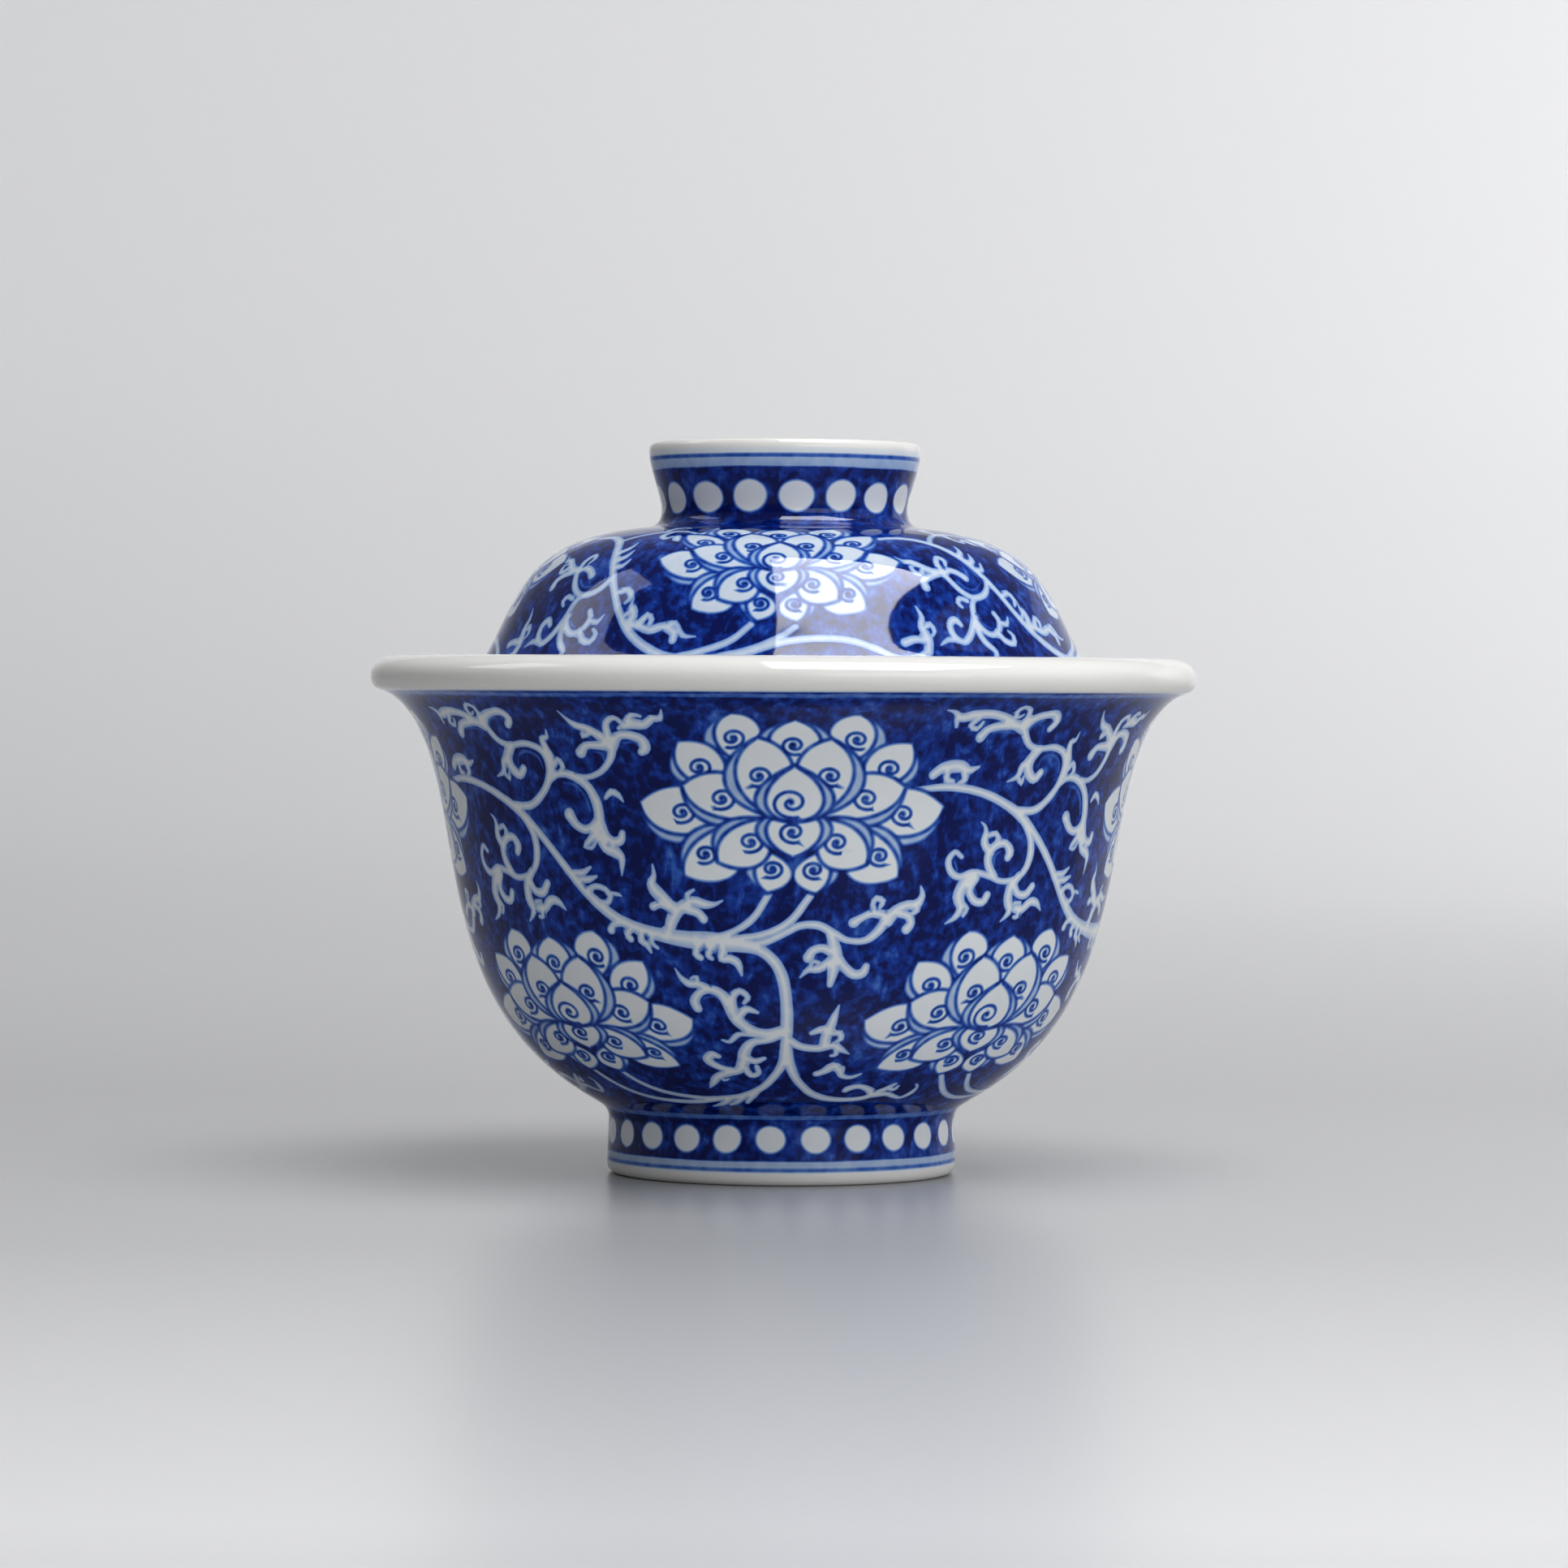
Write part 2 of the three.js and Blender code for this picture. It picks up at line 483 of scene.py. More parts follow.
class Place:
    """Puts a drawing, made round its own centre, on the ware. squash shortens its lower half."""

    def __init__(self, surface, degrees, height, size, squash=1.0):
        self.surface, self.degrees, self.height = surface, degrees, height
        self.size, self.squash = size, squash

    def __call__(self, points):
        points = points * self.size
        points[:, 1] *= np.where(points[:, 1] < 0, self.squash, 1.0)
        return self.surface.local(points, self.degrees, self.height)


def flower(place):
    marks = []
    for name in FLOWER_ORDER:
        if name in MIDDLE_PETALS:
            marks += petal_marks(place, MIDDLE_PETALS[name], 1, folds=2)
        else:
            for hand in (1, -1):
                marks += petal_marks(place, SIDE_PETALS[name], hand, folds=1)
    return marks


# ---- Vines and leaves, as brush strokes through (degrees round the ware, s, width) ----

BOWL_VINES = [
    # The main vine, from the upper flower down to the trunk between the lower flowers.
    [(21, 55.3, 0.8), (27, 55.7, 1.1), (33, 55.0, 1.1), (38, 53.6, 1.2), (42, 51.9, 1.4), (46, 49.4, 1.2),
     (50, 46.4, 1.2), (54, 43.2, 1.3), (58, 40.5, 1.5), (62, 38.7, 1.5), (67, 37.5, 1.7), (73, 36.8, 2.1),
     (78, 36.5, 2.4), (83, 36.1, 1.9), (86.5, 35.4, 1.4), (89, 34.0, 1.4), (90.5, 32.0, 1.5),
     (91.1, 29, 1.5), (91.1, 26, 1.6), (90.8, 22.5, 1.4)],
    # From the trunk, left and right, to the stems of the lower flowers.
    [(90.9, 24, 1.3), (90, 19.6, 1.3), (88, 17.0, 1.2), (84.6, 14.6, 1.2), (80, 12.9, 1.3),
     (75, 12.2, 1.2),
     (69, 12.0, 1.0), (62, 12.5, 0.9), (57, 13.4, 0.9), (53, 14.9, 0.9), (50, 16.8, 0.8)],
    [(76, 12.3, 0.9), (69, 11.3, 1.0), (62, 11.0, 1.0), (54, 11.5, 0.9), (48, 12.8, 0.9),
     (43.5, 14.8, 0.9),
     (40, 17.2, 0.8)],
    [(90.8, 24, 1.3), (91.3, 20, 1.4), (92.6, 17.2, 1.3), (95, 14.9, 1.2), (98, 13.2, 1.3),
     (102, 12.2, 1.3),
     (107, 11.9, 1.1), (112, 12.3, 1.1), (115, 13.5, 1.3), (118, 15.0, 0.8), (119, 15.5, 0.5)],
    # Two stems up to the upper flower.
    [(78, 36.9, 0.9), (82, 37.7, 0.9), (85.4, 39.3, 1.0), (87.9, 42.2, 0.9)],
    [(80, 36.7, 1.0), (87, 37.2, 1.0), (91.6, 38.8, 1.1), (94.8, 42.0, 1.0)],
    # The branch that crosses under the upper flower and ends in a forked leaf.
    [(82, 36.2, 1.0), (87, 36.3, 1.0), (90.5, 37.3, 1.0), (93.5, 38.3, 1.0), (96.5, 38.3, 1.1),
     (99, 37.4, 1.1), (101.5, 36.5, 0.9), (104.5, 36.5, 1.0), (106.7, 37.7, 1.2), (108, 39.3, 1.3)],
    # The curl above the main vine.
    [(40, 52.8, 0.9), (44.5, 52.6, 1.1), (47.5, 53.7, 1.1), (49.8, 55.6, 1.1), (50.6, 57.8, 1.2),
     (49.6, 59.6, 1.1), (46.8, 60.4, 1.0), (43.5, 60.2, 0.9), (41, 60.7, 1.0), (39.3, 62.2, 1.2),
     (38.3, 63.8, 1.3)],
    # Its two side branches.
    [(49.5, 55.3, 0.8), (52, 56.5, 1.0), (55, 56.3, 1.2), (57.8, 54.8, 1.3), (59.2, 52.4, 1.5),
     (59.2, 50.2, 1.5), (58.5, 48.6, 0.9)],
    [(54.5, 56.5, 0.7), (57.8, 56.2, 0.8), (60.6, 57.1, 0.9), (62.5, 59, 1.1), (62.8, 61, 1.5),
     (62.6, 62.2, 0.8)],
    # The curl below the main vine.
    [(42.5, 51.5, 1.0), (44.6, 49.4, 1.2), (45.1, 47.2, 1.3), (44.2, 45.2, 1.1), (42, 44, 0.9),
     (39, 43.7, 0.9), (36, 44.4, 0.9), (33, 44.8, 1.0), (30.5, 44.2, 1.0), (28.7, 44.9, 1.0),
     (28.1, 46.3, 0.9), (29.2, 47.4, 0.8), (30.5, 46.8, 0.7)],
]

BOWL_LEAVES = [
    # The forked leaf on the branch under the upper flower.
    [(108, 39.0, 1.3), (109.5, 40.3, 1.0), (111.5, 40.9, 0.9), (113, 40.9, 0.9), (113.9, 42, 0.6),
     (113.5, 43.1, 0.2)],
    [(108.2, 39.6, 1.0), (105.6, 39.9, 0.8), (103.8, 39.4, 0.7), (102.4, 38.7, 1.0)],
    [(106.2, 39.9, 0.5), (105.4, 41.0, 0.5), (106, 41.8, 0.6), (107.1, 41.4, 0.6), (106.7, 40.7, 0.4)],
    [(109.6, 40.0, 0.8), (111.6, 39.6, 0.8), (112.3, 38.7, 0.8), (111.6, 37.9, 0.9)],
    [(113, 41.2, 0.7), (113.1, 40.2, 0.7), (112.2, 39.8, 0.4)],
    # The leaf that hangs from the same branch.
    [(98.5, 37.4, 0.8), (99.4, 35.6, 1.1), (99.6, 34, 1.3), (99.3, 32.6, 1.0), (98.9, 31, 0.6)],
    [(99.2, 34.9, 0.9), (97.4, 35.5, 0.8), (95.7, 35.2, 0.8), (95, 34.4, 1.0)],
    [(99, 33.9, 0.9), (96.8, 33, 0.8), (95, 32.9, 0.6), (93.6, 32, 0.2)],
    [(99.8, 34.6, 0.9), (101.2, 33.2, 0.9), (103, 32.2, 0.9), (104.6, 32.4, 0.9), (105.1, 33.2, 0.7)],
    [(95.3, 33.2, 0.4), (95.8, 33.9, 0.4), (96.8, 33.7, 0.4)],
    # The leaf that stands on the main vine, under the upper flower.
    [(70.2, 37.6, 0.9), (71.3, 39.4, 1.2), (72.8, 40.6, 1.1), (75, 41.3, 0.9), (77, 40.9, 0.8),
     (78.6, 40.9, 0.5), (80, 41.3, 0.2)],
    [(71.8, 40.2, 1.0), (70.4, 41.4, 0.9), (68.8, 42.4, 1.2), (68, 43.4, 0.9), (68.6, 44.4, 0.5),
     (68.5, 45.6, 0.2)],
    [(70.8, 40.6, 0.8), (69.2, 41, 0.7), (67.9, 40.7, 0.8)],
    [(73.6, 40.4, 0.8), (75.6, 40, 0.8), (76.7, 39.2, 0.8)],
    [(74.3, 41.3, 0.5), (74.1, 42.1, 0.5), (75.2, 42.6, 0.3)],
    # The leaf right of the trunk.
    [(91.5, 23.2, 1.0), (94, 22.3, 0.9), (97.5, 22.1, 0.9), (100.5, 22.6, 0.9), (102.6, 21.9, 0.7),
     (104.5, 21.2, 0.2)],
    [(98.6, 22.4, 0.9), (99, 24.2, 1.1), (99.8, 26, 0.9), (100.3, 27.2, 0.6), (100.8, 28.3, 0.2)],
    [(99.2, 25.2, 0.8), (97.6, 25, 0.8), (95.9, 24.5, 0.5)],
    [(100, 24.4, 0.6), (101.6, 24.5, 0.7), (102, 23.6, 0.6), (101, 23.2, 0.3)],
    [(101.3, 22.2, 0.5), (101.6, 21.1, 0.5), (100.6, 20.9, 0.4)],
    # A small cloud under it.
    [(98, 17.5, 0.8), (99.6, 18, 0.9), (101.6, 19, 1.2), (103.2, 18.3, 0.9), (104.2, 17.2, 0.7),
     (106.5, 16.9, 0.6), (108.7, 17.6, 0.3)],
    [(102.9, 18.4, 0.5), (104, 18.9, 0.4), (104.3, 18, 0.3)],
    # The leaf at the foot, right.
    [(114.2, 13.2, 1.1), (112.2, 14.4, 0.9), (109.4, 15, 0.8), (107, 14.5, 0.9), (106.3, 14, 0.7)],
    [(113.8, 12.9, 1.0), (118, 13.2, 0.8), (121, 12.5, 0.6), (123.4, 12.2, 0.5), (125.4, 13.2, 0.7),
     (125.9, 14.5, 0.4), (125, 15.2, 0.3)],
    [(115.4, 14, 0.6), (117.4, 14.5, 0.6), (119.4, 14.2, 0.6), (120, 15, 0.4)],
    # Sprigs under the vine at the foot, left.
    [(83, 13.5, 0.8), (81.4, 12.1, 0.7), (80.6, 11.2, 0.5)],
    [(79.8, 12.6, 0.8), (77.6, 11.2, 0.7), (75.8, 10.6, 0.4)],
    [(76, 12, 0.8), (73.6, 10.8, 0.7), (70.6, 10.1, 0.3)],
    # The upper leaf left of the trunk.
    [(90.6, 24.9, 1.1), (87, 24.3, 1.0), (84, 24.8, 1.1), (81.6, 26.2, 1.2), (80.5, 28.2, 1.2),
     (79.2, 29.8, 1.0), (77, 30.4, 0.9), (75, 29.9, 0.8), (73.8, 28.7, 1.0), (74.2, 27.7, 0.9)],
    [(81, 27.6, 0.9), (81.2, 29.4, 0.8), (82.6, 30.3, 0.7), (84.1, 29.5, 0.6), (83.3, 28.7, 0.4)],
    [(81.8, 26.6, 0.8), (83.6, 27.8, 0.8), (85.6, 27.4, 0.4)],
    [(78, 30.2, 0.8), (75, 31, 0.8), (73, 31.1, 0.8), (71.6, 31.9, 0.5), (70.7, 33, 0.2)],
    [(74.7, 31, 0.5), (74.7, 32, 0.5), (73.6, 31.8, 0.3)],
    # The lower leaf left of the trunk.
    [(90.4, 24.4, 1.0), (87.3, 23.3, 0.8), (84, 22.8, 0.9), (82.2, 21.4, 1.1), (81.4, 19.5, 1.2),
     (80, 18.1, 1.0), (77.5, 17.6, 1.0), (74.7, 16.8, 0.9), (73, 15.5, 0.7), (71.7, 14.4, 0.2)],
    [(79, 17.9, 0.9), (75.8, 18.6, 0.8), (73.8, 19.8, 1.0), (74.9, 20.8, 0.9), (76.2, 20.5, 0.7)],
    [(81.8, 20.3, 0.8), (84, 19.7, 0.8), (86, 20.2, 0.5)],
    [(81.3, 18.7, 0.8), (82.6, 17.1, 0.7), (84.4, 17.6, 0.6), (84.2, 18.8, 0.5)],
    [(87, 23.8, 0.6), (84, 24, 0.5), (81.4, 24, 0.6), (79.5, 22.9, 0.5), (78, 23.1, 0.3)],
    [(75.2, 17, 0.5), (75.9, 16.1, 0.4), (77, 16.4, 0.3)],
    # The leaves on the curl below the main vine: one up, one down at each end.
    [(37.4, 44.2, 0.9), (36, 45.7, 0.9), (35.8, 47.2, 0.9), (37.2, 48.4, 0.9), (39.2, 48.6, 0.8),
     (40.3, 47.6, 1.0), (39.9, 46.8, 0.8)],
    [(36.1, 47.4, 0.9), (34.8, 48.6, 0.9), (34.9, 50, 0.6), (34.6, 50.8, 0.4), (33.8, 51.3, 0.2)],
    [(35.3, 49.6, 0.5), (37, 49.9, 0.6), (37.7, 49, 0.5)],
    [(33, 44.6, 1.0), (31.3, 43.2, 1.2), (30.6, 41.7, 1.2), (31.3, 40.4, 0.9), (30.4, 39.2, 0.6),
     (28.7, 38.5, 0.2)],
    [(33.7, 44, 0.8), (32.6, 42.5, 0.8), (33.8, 41.2, 0.8), (35.6, 41, 0.8), (36.4, 41.9, 0.8)],
    [(31.6, 40.8, 0.5), (32.6, 40.2, 0.5), (32, 39.4, 0.4)],
    [(43, 44.4, 0.9), (41.4, 43, 1.0), (41.2, 41.2, 1.1), (42, 40, 0.9), (41.3, 39.1, 0.5),
     (40.3, 38.5, 0.2)],
    [(42, 43.4, 0.8), (43.3, 42.1, 0.8), (45.3, 42, 0.9), (46.7, 43.1, 0.8)],
    [(43.4, 40.1, 0.9), (45, 40, 0.9), (46.8, 41, 0.9), (48.6, 40.9, 0.8), (50.2, 39.9, 0.2)],
    [(43, 40.8, 0.5), (44.3, 40.9, 0.4)],
    [(44.4, 40.2, 0.8), (44.2, 39.1, 0.6), (43.3, 39, 0.4)],
    # The leaf on top of the curl above the main vine.
    [(38.7, 62.8, 1.2), (36.6, 63.4, 1.1), (34, 63.2, 0.9), (32, 62.8, 0.9), (30.9, 61.8, 1.1)],
    [(38.5, 64.1, 0.7), (38.4, 65.5, 0.6), (37, 66, 0.5), (36, 65.2, 0.6), (36.6, 64.3, 0.5),
     (37.5, 64.8, 0.3)],
    [(38.6, 62.8, 1.1), (39.9, 64.2, 1.0), (42, 64.8, 0.9), (44, 64.9, 1.0), (45.1, 63.9, 0.9),
     (44.3, 62.9, 0.8)],
    [(36, 63.8, 1.0), (33.5, 64.6, 0.9), (31, 64.9, 1.0), (28.6, 64.7, 1.1), (26.6, 64.4, 0.9),
     (25.4, 65.2, 0.5),
     (24.1, 65.5, 0.2)],
    [(29.8, 64.4, 0.7), (28.6, 63.3, 0.6), (29.9, 62.8, 0.5), (30.6, 63.7, 0.4)],
    [(26, 64.2, 0.6), (26.2, 63.2, 0.4)],
    # The small leaf inside that curl.
    [(43.6, 60.1, 0.9), (42, 58.8, 1.2), (42.2, 57.3, 1.1), (43.8, 56.4, 0.9), (45, 57.2, 0.8)],
    [(42, 58.6, 0.9), (40.6, 58, 0.8), (40, 56.8, 0.6), (38, 56.2, 0.2)],
    [(40.2, 56.6, 0.5), (41.1, 55.9, 0.5), (41.3, 56.7, 0.3)],
    # The sprig to the right of it.
    [(51.2, 56.6, 0.6), (51.4, 58.6, 0.7), (50.7, 59.9, 0.8), (50.5, 61.1, 0.7), (51.5, 61.4, 0.5),
     (51.8, 62.4, 0.2)],
    [(51.3, 57.2, 0.6), (52.6, 58.4, 0.6), (53.3, 57.4, 0.6), (52.5, 56.7, 0.4)],
    # The leaf that hangs from the first side branch.
    [(59.2, 50.8, 1.2), (58, 50.1, 0.9), (56.3, 49.8, 0.8), (54.6, 50.4, 0.9), (53.4, 51.6, 1.2)],
    [(59.4, 50.4, 1.2), (60.4, 48.9, 1.0), (61.8, 48.3, 0.9), (63.1, 48.5, 0.9), (63.5, 49.3, 0.7)],
    [(59.2, 49, 1.0), (60.2, 47.6, 0.9), (61.8, 47.2, 1.1), (63, 46.5, 0.8), (63, 45.4, 0.5),
     (62.8, 44.4, 0.2)],
    [(58.4, 49.4, 0.8), (57, 48.4, 0.7), (56, 47.8, 0.4), (57.4, 47.6, 0.4), (58.2, 48.2, 0.4)],
    [(60.8, 53.6, 0.4), (61.9, 54.4, 0.7), (63.2, 54, 0.6), (64, 53.2, 0.2)],
    # The forked leaf on the second side branch.
    [(62.6, 60.6, 1.3), (60.6, 60.5, 0.9), (58.4, 60.4, 0.8), (57.2, 59.4, 1.1)],
    [(62.4, 61, 1.2), (60.8, 62, 1.0), (59.4, 62.8, 0.8), (57.6, 63.2, 0.8), (56.4, 64, 0.5),
     (55.3, 65.3, 0.2)],
    [(59.4, 62.2, 0.6), (58.2, 61.7, 0.6), (58.5, 62.6, 0.3)],
    [(62.9, 60.6, 1.3), (64.3, 61.9, 0.9), (66.2, 62, 0.9), (68, 61.4, 1.0), (68.4, 60.3, 1.1),
     (67.8, 59.8, 0.8)],
    [(62.5, 61.9, 0.9), (62.7, 63.6, 0.7), (64.2, 64.4, 0.6), (65.3, 63.5, 0.5), (64.6, 62.9, 0.4)],
    [(65.4, 63.1, 0.6), (67, 63.6, 1.2), (68.8, 63.4, 0.9), (70.2, 64.3, 0.8), (71.4, 64.2, 0.6),
     (71.9, 65.5, 0.2)],
    [(66.2, 63.9, 0.8), (67.2, 64.8, 0.6), (68.4, 64.6, 0.4)],
    # The comb of lobes where the main vine turns down, and its eye.
    [(53.2, 44.6, 0.6), (55, 44.6, 0.7), (56.8, 45.3, 0.3)],
    [(54, 43.8, 0.6), (56, 43.8, 0.7), (57.8, 44.2, 0.3)],
    [(56, 42.6, 0.6), (57.4, 43, 0.6), (59.2, 42.7, 0.6), (60.1, 41.8, 0.6), (59.2, 41, 0.6),
     (58, 41.2, 0.4)],
    [(59.6, 42.2, 0.5), (61.6, 42.1, 0.4), (62.2, 41.9, 0.2)],
    # Sprigs hanging from the main vine.
    [(61.2, 38.6, 0.8), (59.8, 38.3, 0.6), (59.2, 37.6, 0.8)],
    [(63.4, 38.1, 0.8), (62.3, 37.2, 0.7), (62.8, 36.6, 0.7)],
    [(65.2, 37.5, 0.8), (64.8, 36.4, 0.7), (65.8, 36, 0.7), (66.4, 35, 0.3)],
    [(67, 37, 0.7), (66.8, 36.2, 0.5), (67.8, 35.6, 0.4)],
    [(75.4, 35.9, 0.8), (74.9, 35, 0.7), (75.8, 34.5, 0.6)],
    [(77.6, 35.6, 0.8), (77.2, 34.8, 0.6), (77.9, 34.4, 0.4)],
    [(80, 35.4, 0.9), (79.6, 34.4, 0.7), (81.2, 34.4, 0.8), (82.6, 33.8, 0.8), (83.2, 32.4, 0.3)],
    # A free cloud above the main vine.
    [(23.6, 57.2, 0.9), (25, 58, 1.0), (26.6, 58.2, 1.2), (28.6, 58.2, 1.1), (30, 57.7, 0.8),
     (31.8, 58.1, 0.3)],
    [(26, 57.6, 0.7), (26.2, 56.6, 0.7), (27.3, 56.4, 0.5)],
    [(29.2, 57.6, 0.8), (29.5, 56.6, 0.7), (28.5, 56.2, 0.4)],
]

# Pale echoes of the brush, inside the curls.
BOWL_ECHOES = [
    [(49.3, 57.2, 0.3), (48.7, 58.7, 0.5), (46.6, 59.4, 0.5), (44.6, 58.9, 0.5), (44.1, 57.9, 0.3)],
    [(53, 55.4, 0.3), (55, 55.2, 0.5), (56.8, 53.9, 0.5), (57.7, 52, 0.4)],
    [(61.2, 58.5, 0.3), (60.9, 59.4, 0.5), (59.6, 59.6, 0.3)],
    [(33.4, 42.9, 0.4), (34.2, 41.9, 0.3)],
    [(29.9, 45.1, 0.4), (29.3, 46.1, 0.3)],
    [(37.2, 45.7, 0.3), (37, 47, 0.5), (38.3, 47.6, 0.3)],
    [(33, 62.3, 0.3), (35, 62.5, 0.5), (37.2, 62.2, 0.3)],
    [(40, 62.6, 0.3), (40.6, 63.6, 0.5), (42.4, 64, 0.4)],
    [(79.6, 28.6, 0.3), (77.8, 29.5, 0.5), (75.6, 29.1, 0.3)],
    [(85, 25.7, 0.3), (83, 26.4, 0.5), (82.1, 28, 0.3)],
    [(92.1, 22.2, 0.3), (92.4, 19.8, 0.4), (94, 17.2, 0.3)],
    [(103.5, 37.2, 0.3), (105.5, 37.6, 0.4), (106.6, 38.9, 0.3)],
    [(65, 60.9, 0.3), (66.6, 61.1, 0.4), (67.4, 60.6, 0.3)],
    [(84, 37.0, 0.3), (88, 36.9, 0.5), (91, 37.6, 0.3)],
]

LID_VINES = [
    # The main vine, from the flower over the shoulder and down under the next flower.
    [(22, 17.0, 0.8), (27, 18.0, 0.9), (33, 18.3, 1.0), (38, 17.6, 1.1), (42.5, 16.0, 1.2),
     (46, 13.6, 1.2),
     (49, 10.8, 1.2), (52, 7.8, 1.1), (55, 4.8, 1.1), (58.5, 2.2, 1.2), (63, 0.2, 1.3), (68, -1.2, 1.4),
     (74, -1.7, 1.6), (80, -1.4, 1.4), (85, -0.4, 1.1), (90, 0.6, 1.0), (96, 1.1, 1.0), (102, 0.9, 1.0),
     (107, -0.2, 1.0), (111, -1.4, 0.9), (115, -1.4, 1.0), (118, -0.4, 0.8)],
    # Two stems up to the flower.
    [(70, -1.2, 1.0), (75, -0.4, 1.0), (80, 0.8, 1.0), (83.5, 2.8, 0.9)],
    [(78, -1.2, 0.9), (84, -0.3, 0.9), (89, 1.2, 0.9), (92, 2.6, 0.8)],
    # The curl inside the turn of the main vine.
    [(50, 9.6, 0.9), (48.4, 8.2, 1.0), (46, 7.3, 1.0), (43, 7.1, 1.0), (40.3, 8.0, 1.0), (38.4, 9.5, 1.0),
     (37.2, 11.0, 1.0)],
    # The stem that leaves it downwards.
    [(43.2, 7.0, 0.9), (41.9, 5.6, 1.0), (41.5, 4.0, 1.1), (42.5, 2.6, 1.1), (44.6, 1.8, 1.0),
     (47, 2.3, 1.0),
     (48.3, 3.8, 1.0), (47.6, 4.9, 0.9)],
    # Upwards from the shoulder, to the knob.
    [(41, 16.6, 0.8), (44, 18.2, 0.8), (49, 19.8, 0.8), (56, 20.6, 0.8), (62, 20.0, 0.8),
     (65, 18.6, 0.9)],
]

LID_LEAVES = [
    # The leaf inside the curl.
    [(37.4, 10.6, 1.0), (39.4, 11.2, 0.8), (41.8, 10.8, 0.8), (43.4, 10.0, 0.9)],
    [(37.4, 10.8, 0.9), (37.2, 12.4, 0.7), (38.6, 13.5, 0.6), (40.0, 12.9, 0.6), (39.4, 12.0, 0.4)],
    [(37.2, 10.7, 1.0), (34.6, 11.0, 0.9), (32.4, 11.7, 0.9), (30.2, 12.5, 0.8), (28.2, 12.5, 0.6),
     (26.8, 13.4, 0.2)],
    [(32.4, 11.6, 0.7), (31.6, 10.6, 0.6), (30, 10.6, 0.6), (29.4, 11.6, 0.5), (30.4, 11.8, 0.3)],
    [(35.6, 10.6, 0.9), (33, 10.0, 0.8), (31.2, 9.2, 0.8), (31.1, 8.3, 1.0)],
    # Leaves on the stem below it.
    [(41.6, 4.2, 0.9), (40, 2.6, 0.8), (38.6, 1.4, 0.8), (36.6, 0.6, 0.7), (34.6, 1.5, 0.8),
     (34.4, 3, 0.8),
     (36, 3.7, 0.8), (37.2, 3, 0.6)],
    [(35.6, 0.9, 0.7), (33, 0.9, 0.6), (31, 0.2, 0.2)],
    [(41, 2.9, 0.8), (42, 0.8, 0.8), (44, -0.6, 0.7), (43, -1.8, 0.3)],
    [(46.6, 2.2, 0.8), (48, 1.0, 0.8), (50.2, 0.7, 0.7), (51, 1.8, 0.6), (50, 2.4, 0.4)],
    [(48.4, 3.6, 0.7), (50.4, 3.4, 0.6), (51.6, 4.4, 0.2)],
    [(41, 6.6, 0.6), (39.2, 6.9, 0.6), (38.2, 6.2, 0.6), (39, 5.6, 0.4)],
    # Sprigs on the outside of the main vine.
    [(49.2, 11.2, 0.8), (51, 11.4, 0.6), (52, 12.4, 0.3)],
    [(48, 12.4, 0.8), (50, 13, 0.7), (50.8, 14.2, 0.3)],
    [(46.6, 13.8, 0.8), (48.6, 14.8, 0.6), (49, 16, 0.3)],
    [(53, 7.4, 0.8), (55.4, 7.8, 0.7), (56.8, 6.8, 0.7), (55.8, 6, 0.4)],
    # The leaf that stands on the main vine, left of the flower.
    [(57.6, 3, 0.8), (58.6, 4.2, 1.0), (58, 5.2, 0.9), (57.4, 5.6, 0.5), (57.6, 6.6, 0.2)],
    [(58.6, 2.8, 1.0), (60.4, 3.2, 0.9), (61.8, 4.4, 0.6), (63, 3.7, 0.6), (62.4, 2.8, 0.5)],
    [(60, 3.2, 0.9), (63, 2.4, 0.9), (66, 2.8, 0.9), (68.4, 2.0, 0.9), (68.6, 1.0, 0.8)],
    [(66, 2.6, 0.7), (68.2, 3.2, 0.6), (70.4, 1.6, 0.5), (73, 1.4, 0.2)],
    [(57.6, 5.0, 0.7), (56.4, 4.2, 0.6), (57, 3.4, 0.4)],
    # The leaf beyond the flower, right.
    [(117.8, -0.6, 1.0), (118.4, 1.0, 1.0), (117.4, 2.6, 0.8), (118, 4.0, 0.6), (117.2, 5.4, 0.2)],
    [(118.2, 0.8, 0.8), (115.4, 1.0, 0.8), (113, 0.6, 0.9)],
    [(118, 2.4, 0.7), (119.6, 3.0, 0.6), (120.2, 2.0, 0.5), (119.4, 1.4, 0.3)],
    # Leaves near the knob.
    [(64.8, 18.4, 0.9), (62.4, 17.2, 0.8), (60, 17.2, 0.9), (59, 18.2, 0.8)],
    [(65, 18.6, 0.9), (66, 17, 0.8), (65, 15.4, 0.6), (65.4, 14.2, 0.2)],
    [(64.8, 19, 0.9), (67, 20.2, 0.7), (68, 21.8, 0.5), (67.4, 23, 0.2)],
    [(52, 20.2, 0.8), (51, 22, 0.8), (54, 23.2, 0.7), (57, 22.6, 0.5)],
    [(55, 20.6, 0.7), (53.6, 18.6, 0.7), (56, 17.4, 0.6), (57.4, 18.2, 0.4)],
]

LID_ECHOES = [
    [(47.4, 9.2, 0.3), (45, 8.3, 0.4), (42.4, 8.4, 0.4), (40.4, 9.4, 0.3)],
    [(42.8, 4.6, 0.3), (43.2, 3.3, 0.4), (45, 2.7, 0.3)],
    [(44, 14.2, 0.3), (46.6, 11.6, 0.4), (48.2, 9.2, 0.3)],
]


# ---- Turning a painting into a mesh ----

def add_chain(points, edges, line):
    """Adds the points of a line to a drawing, and the edges between them."""
    first = len(points)
    points += [Vector(point) for point in line.tolist()]
    edges += [(first + i, first + i + 1) for i in range(len(line) - 1)]


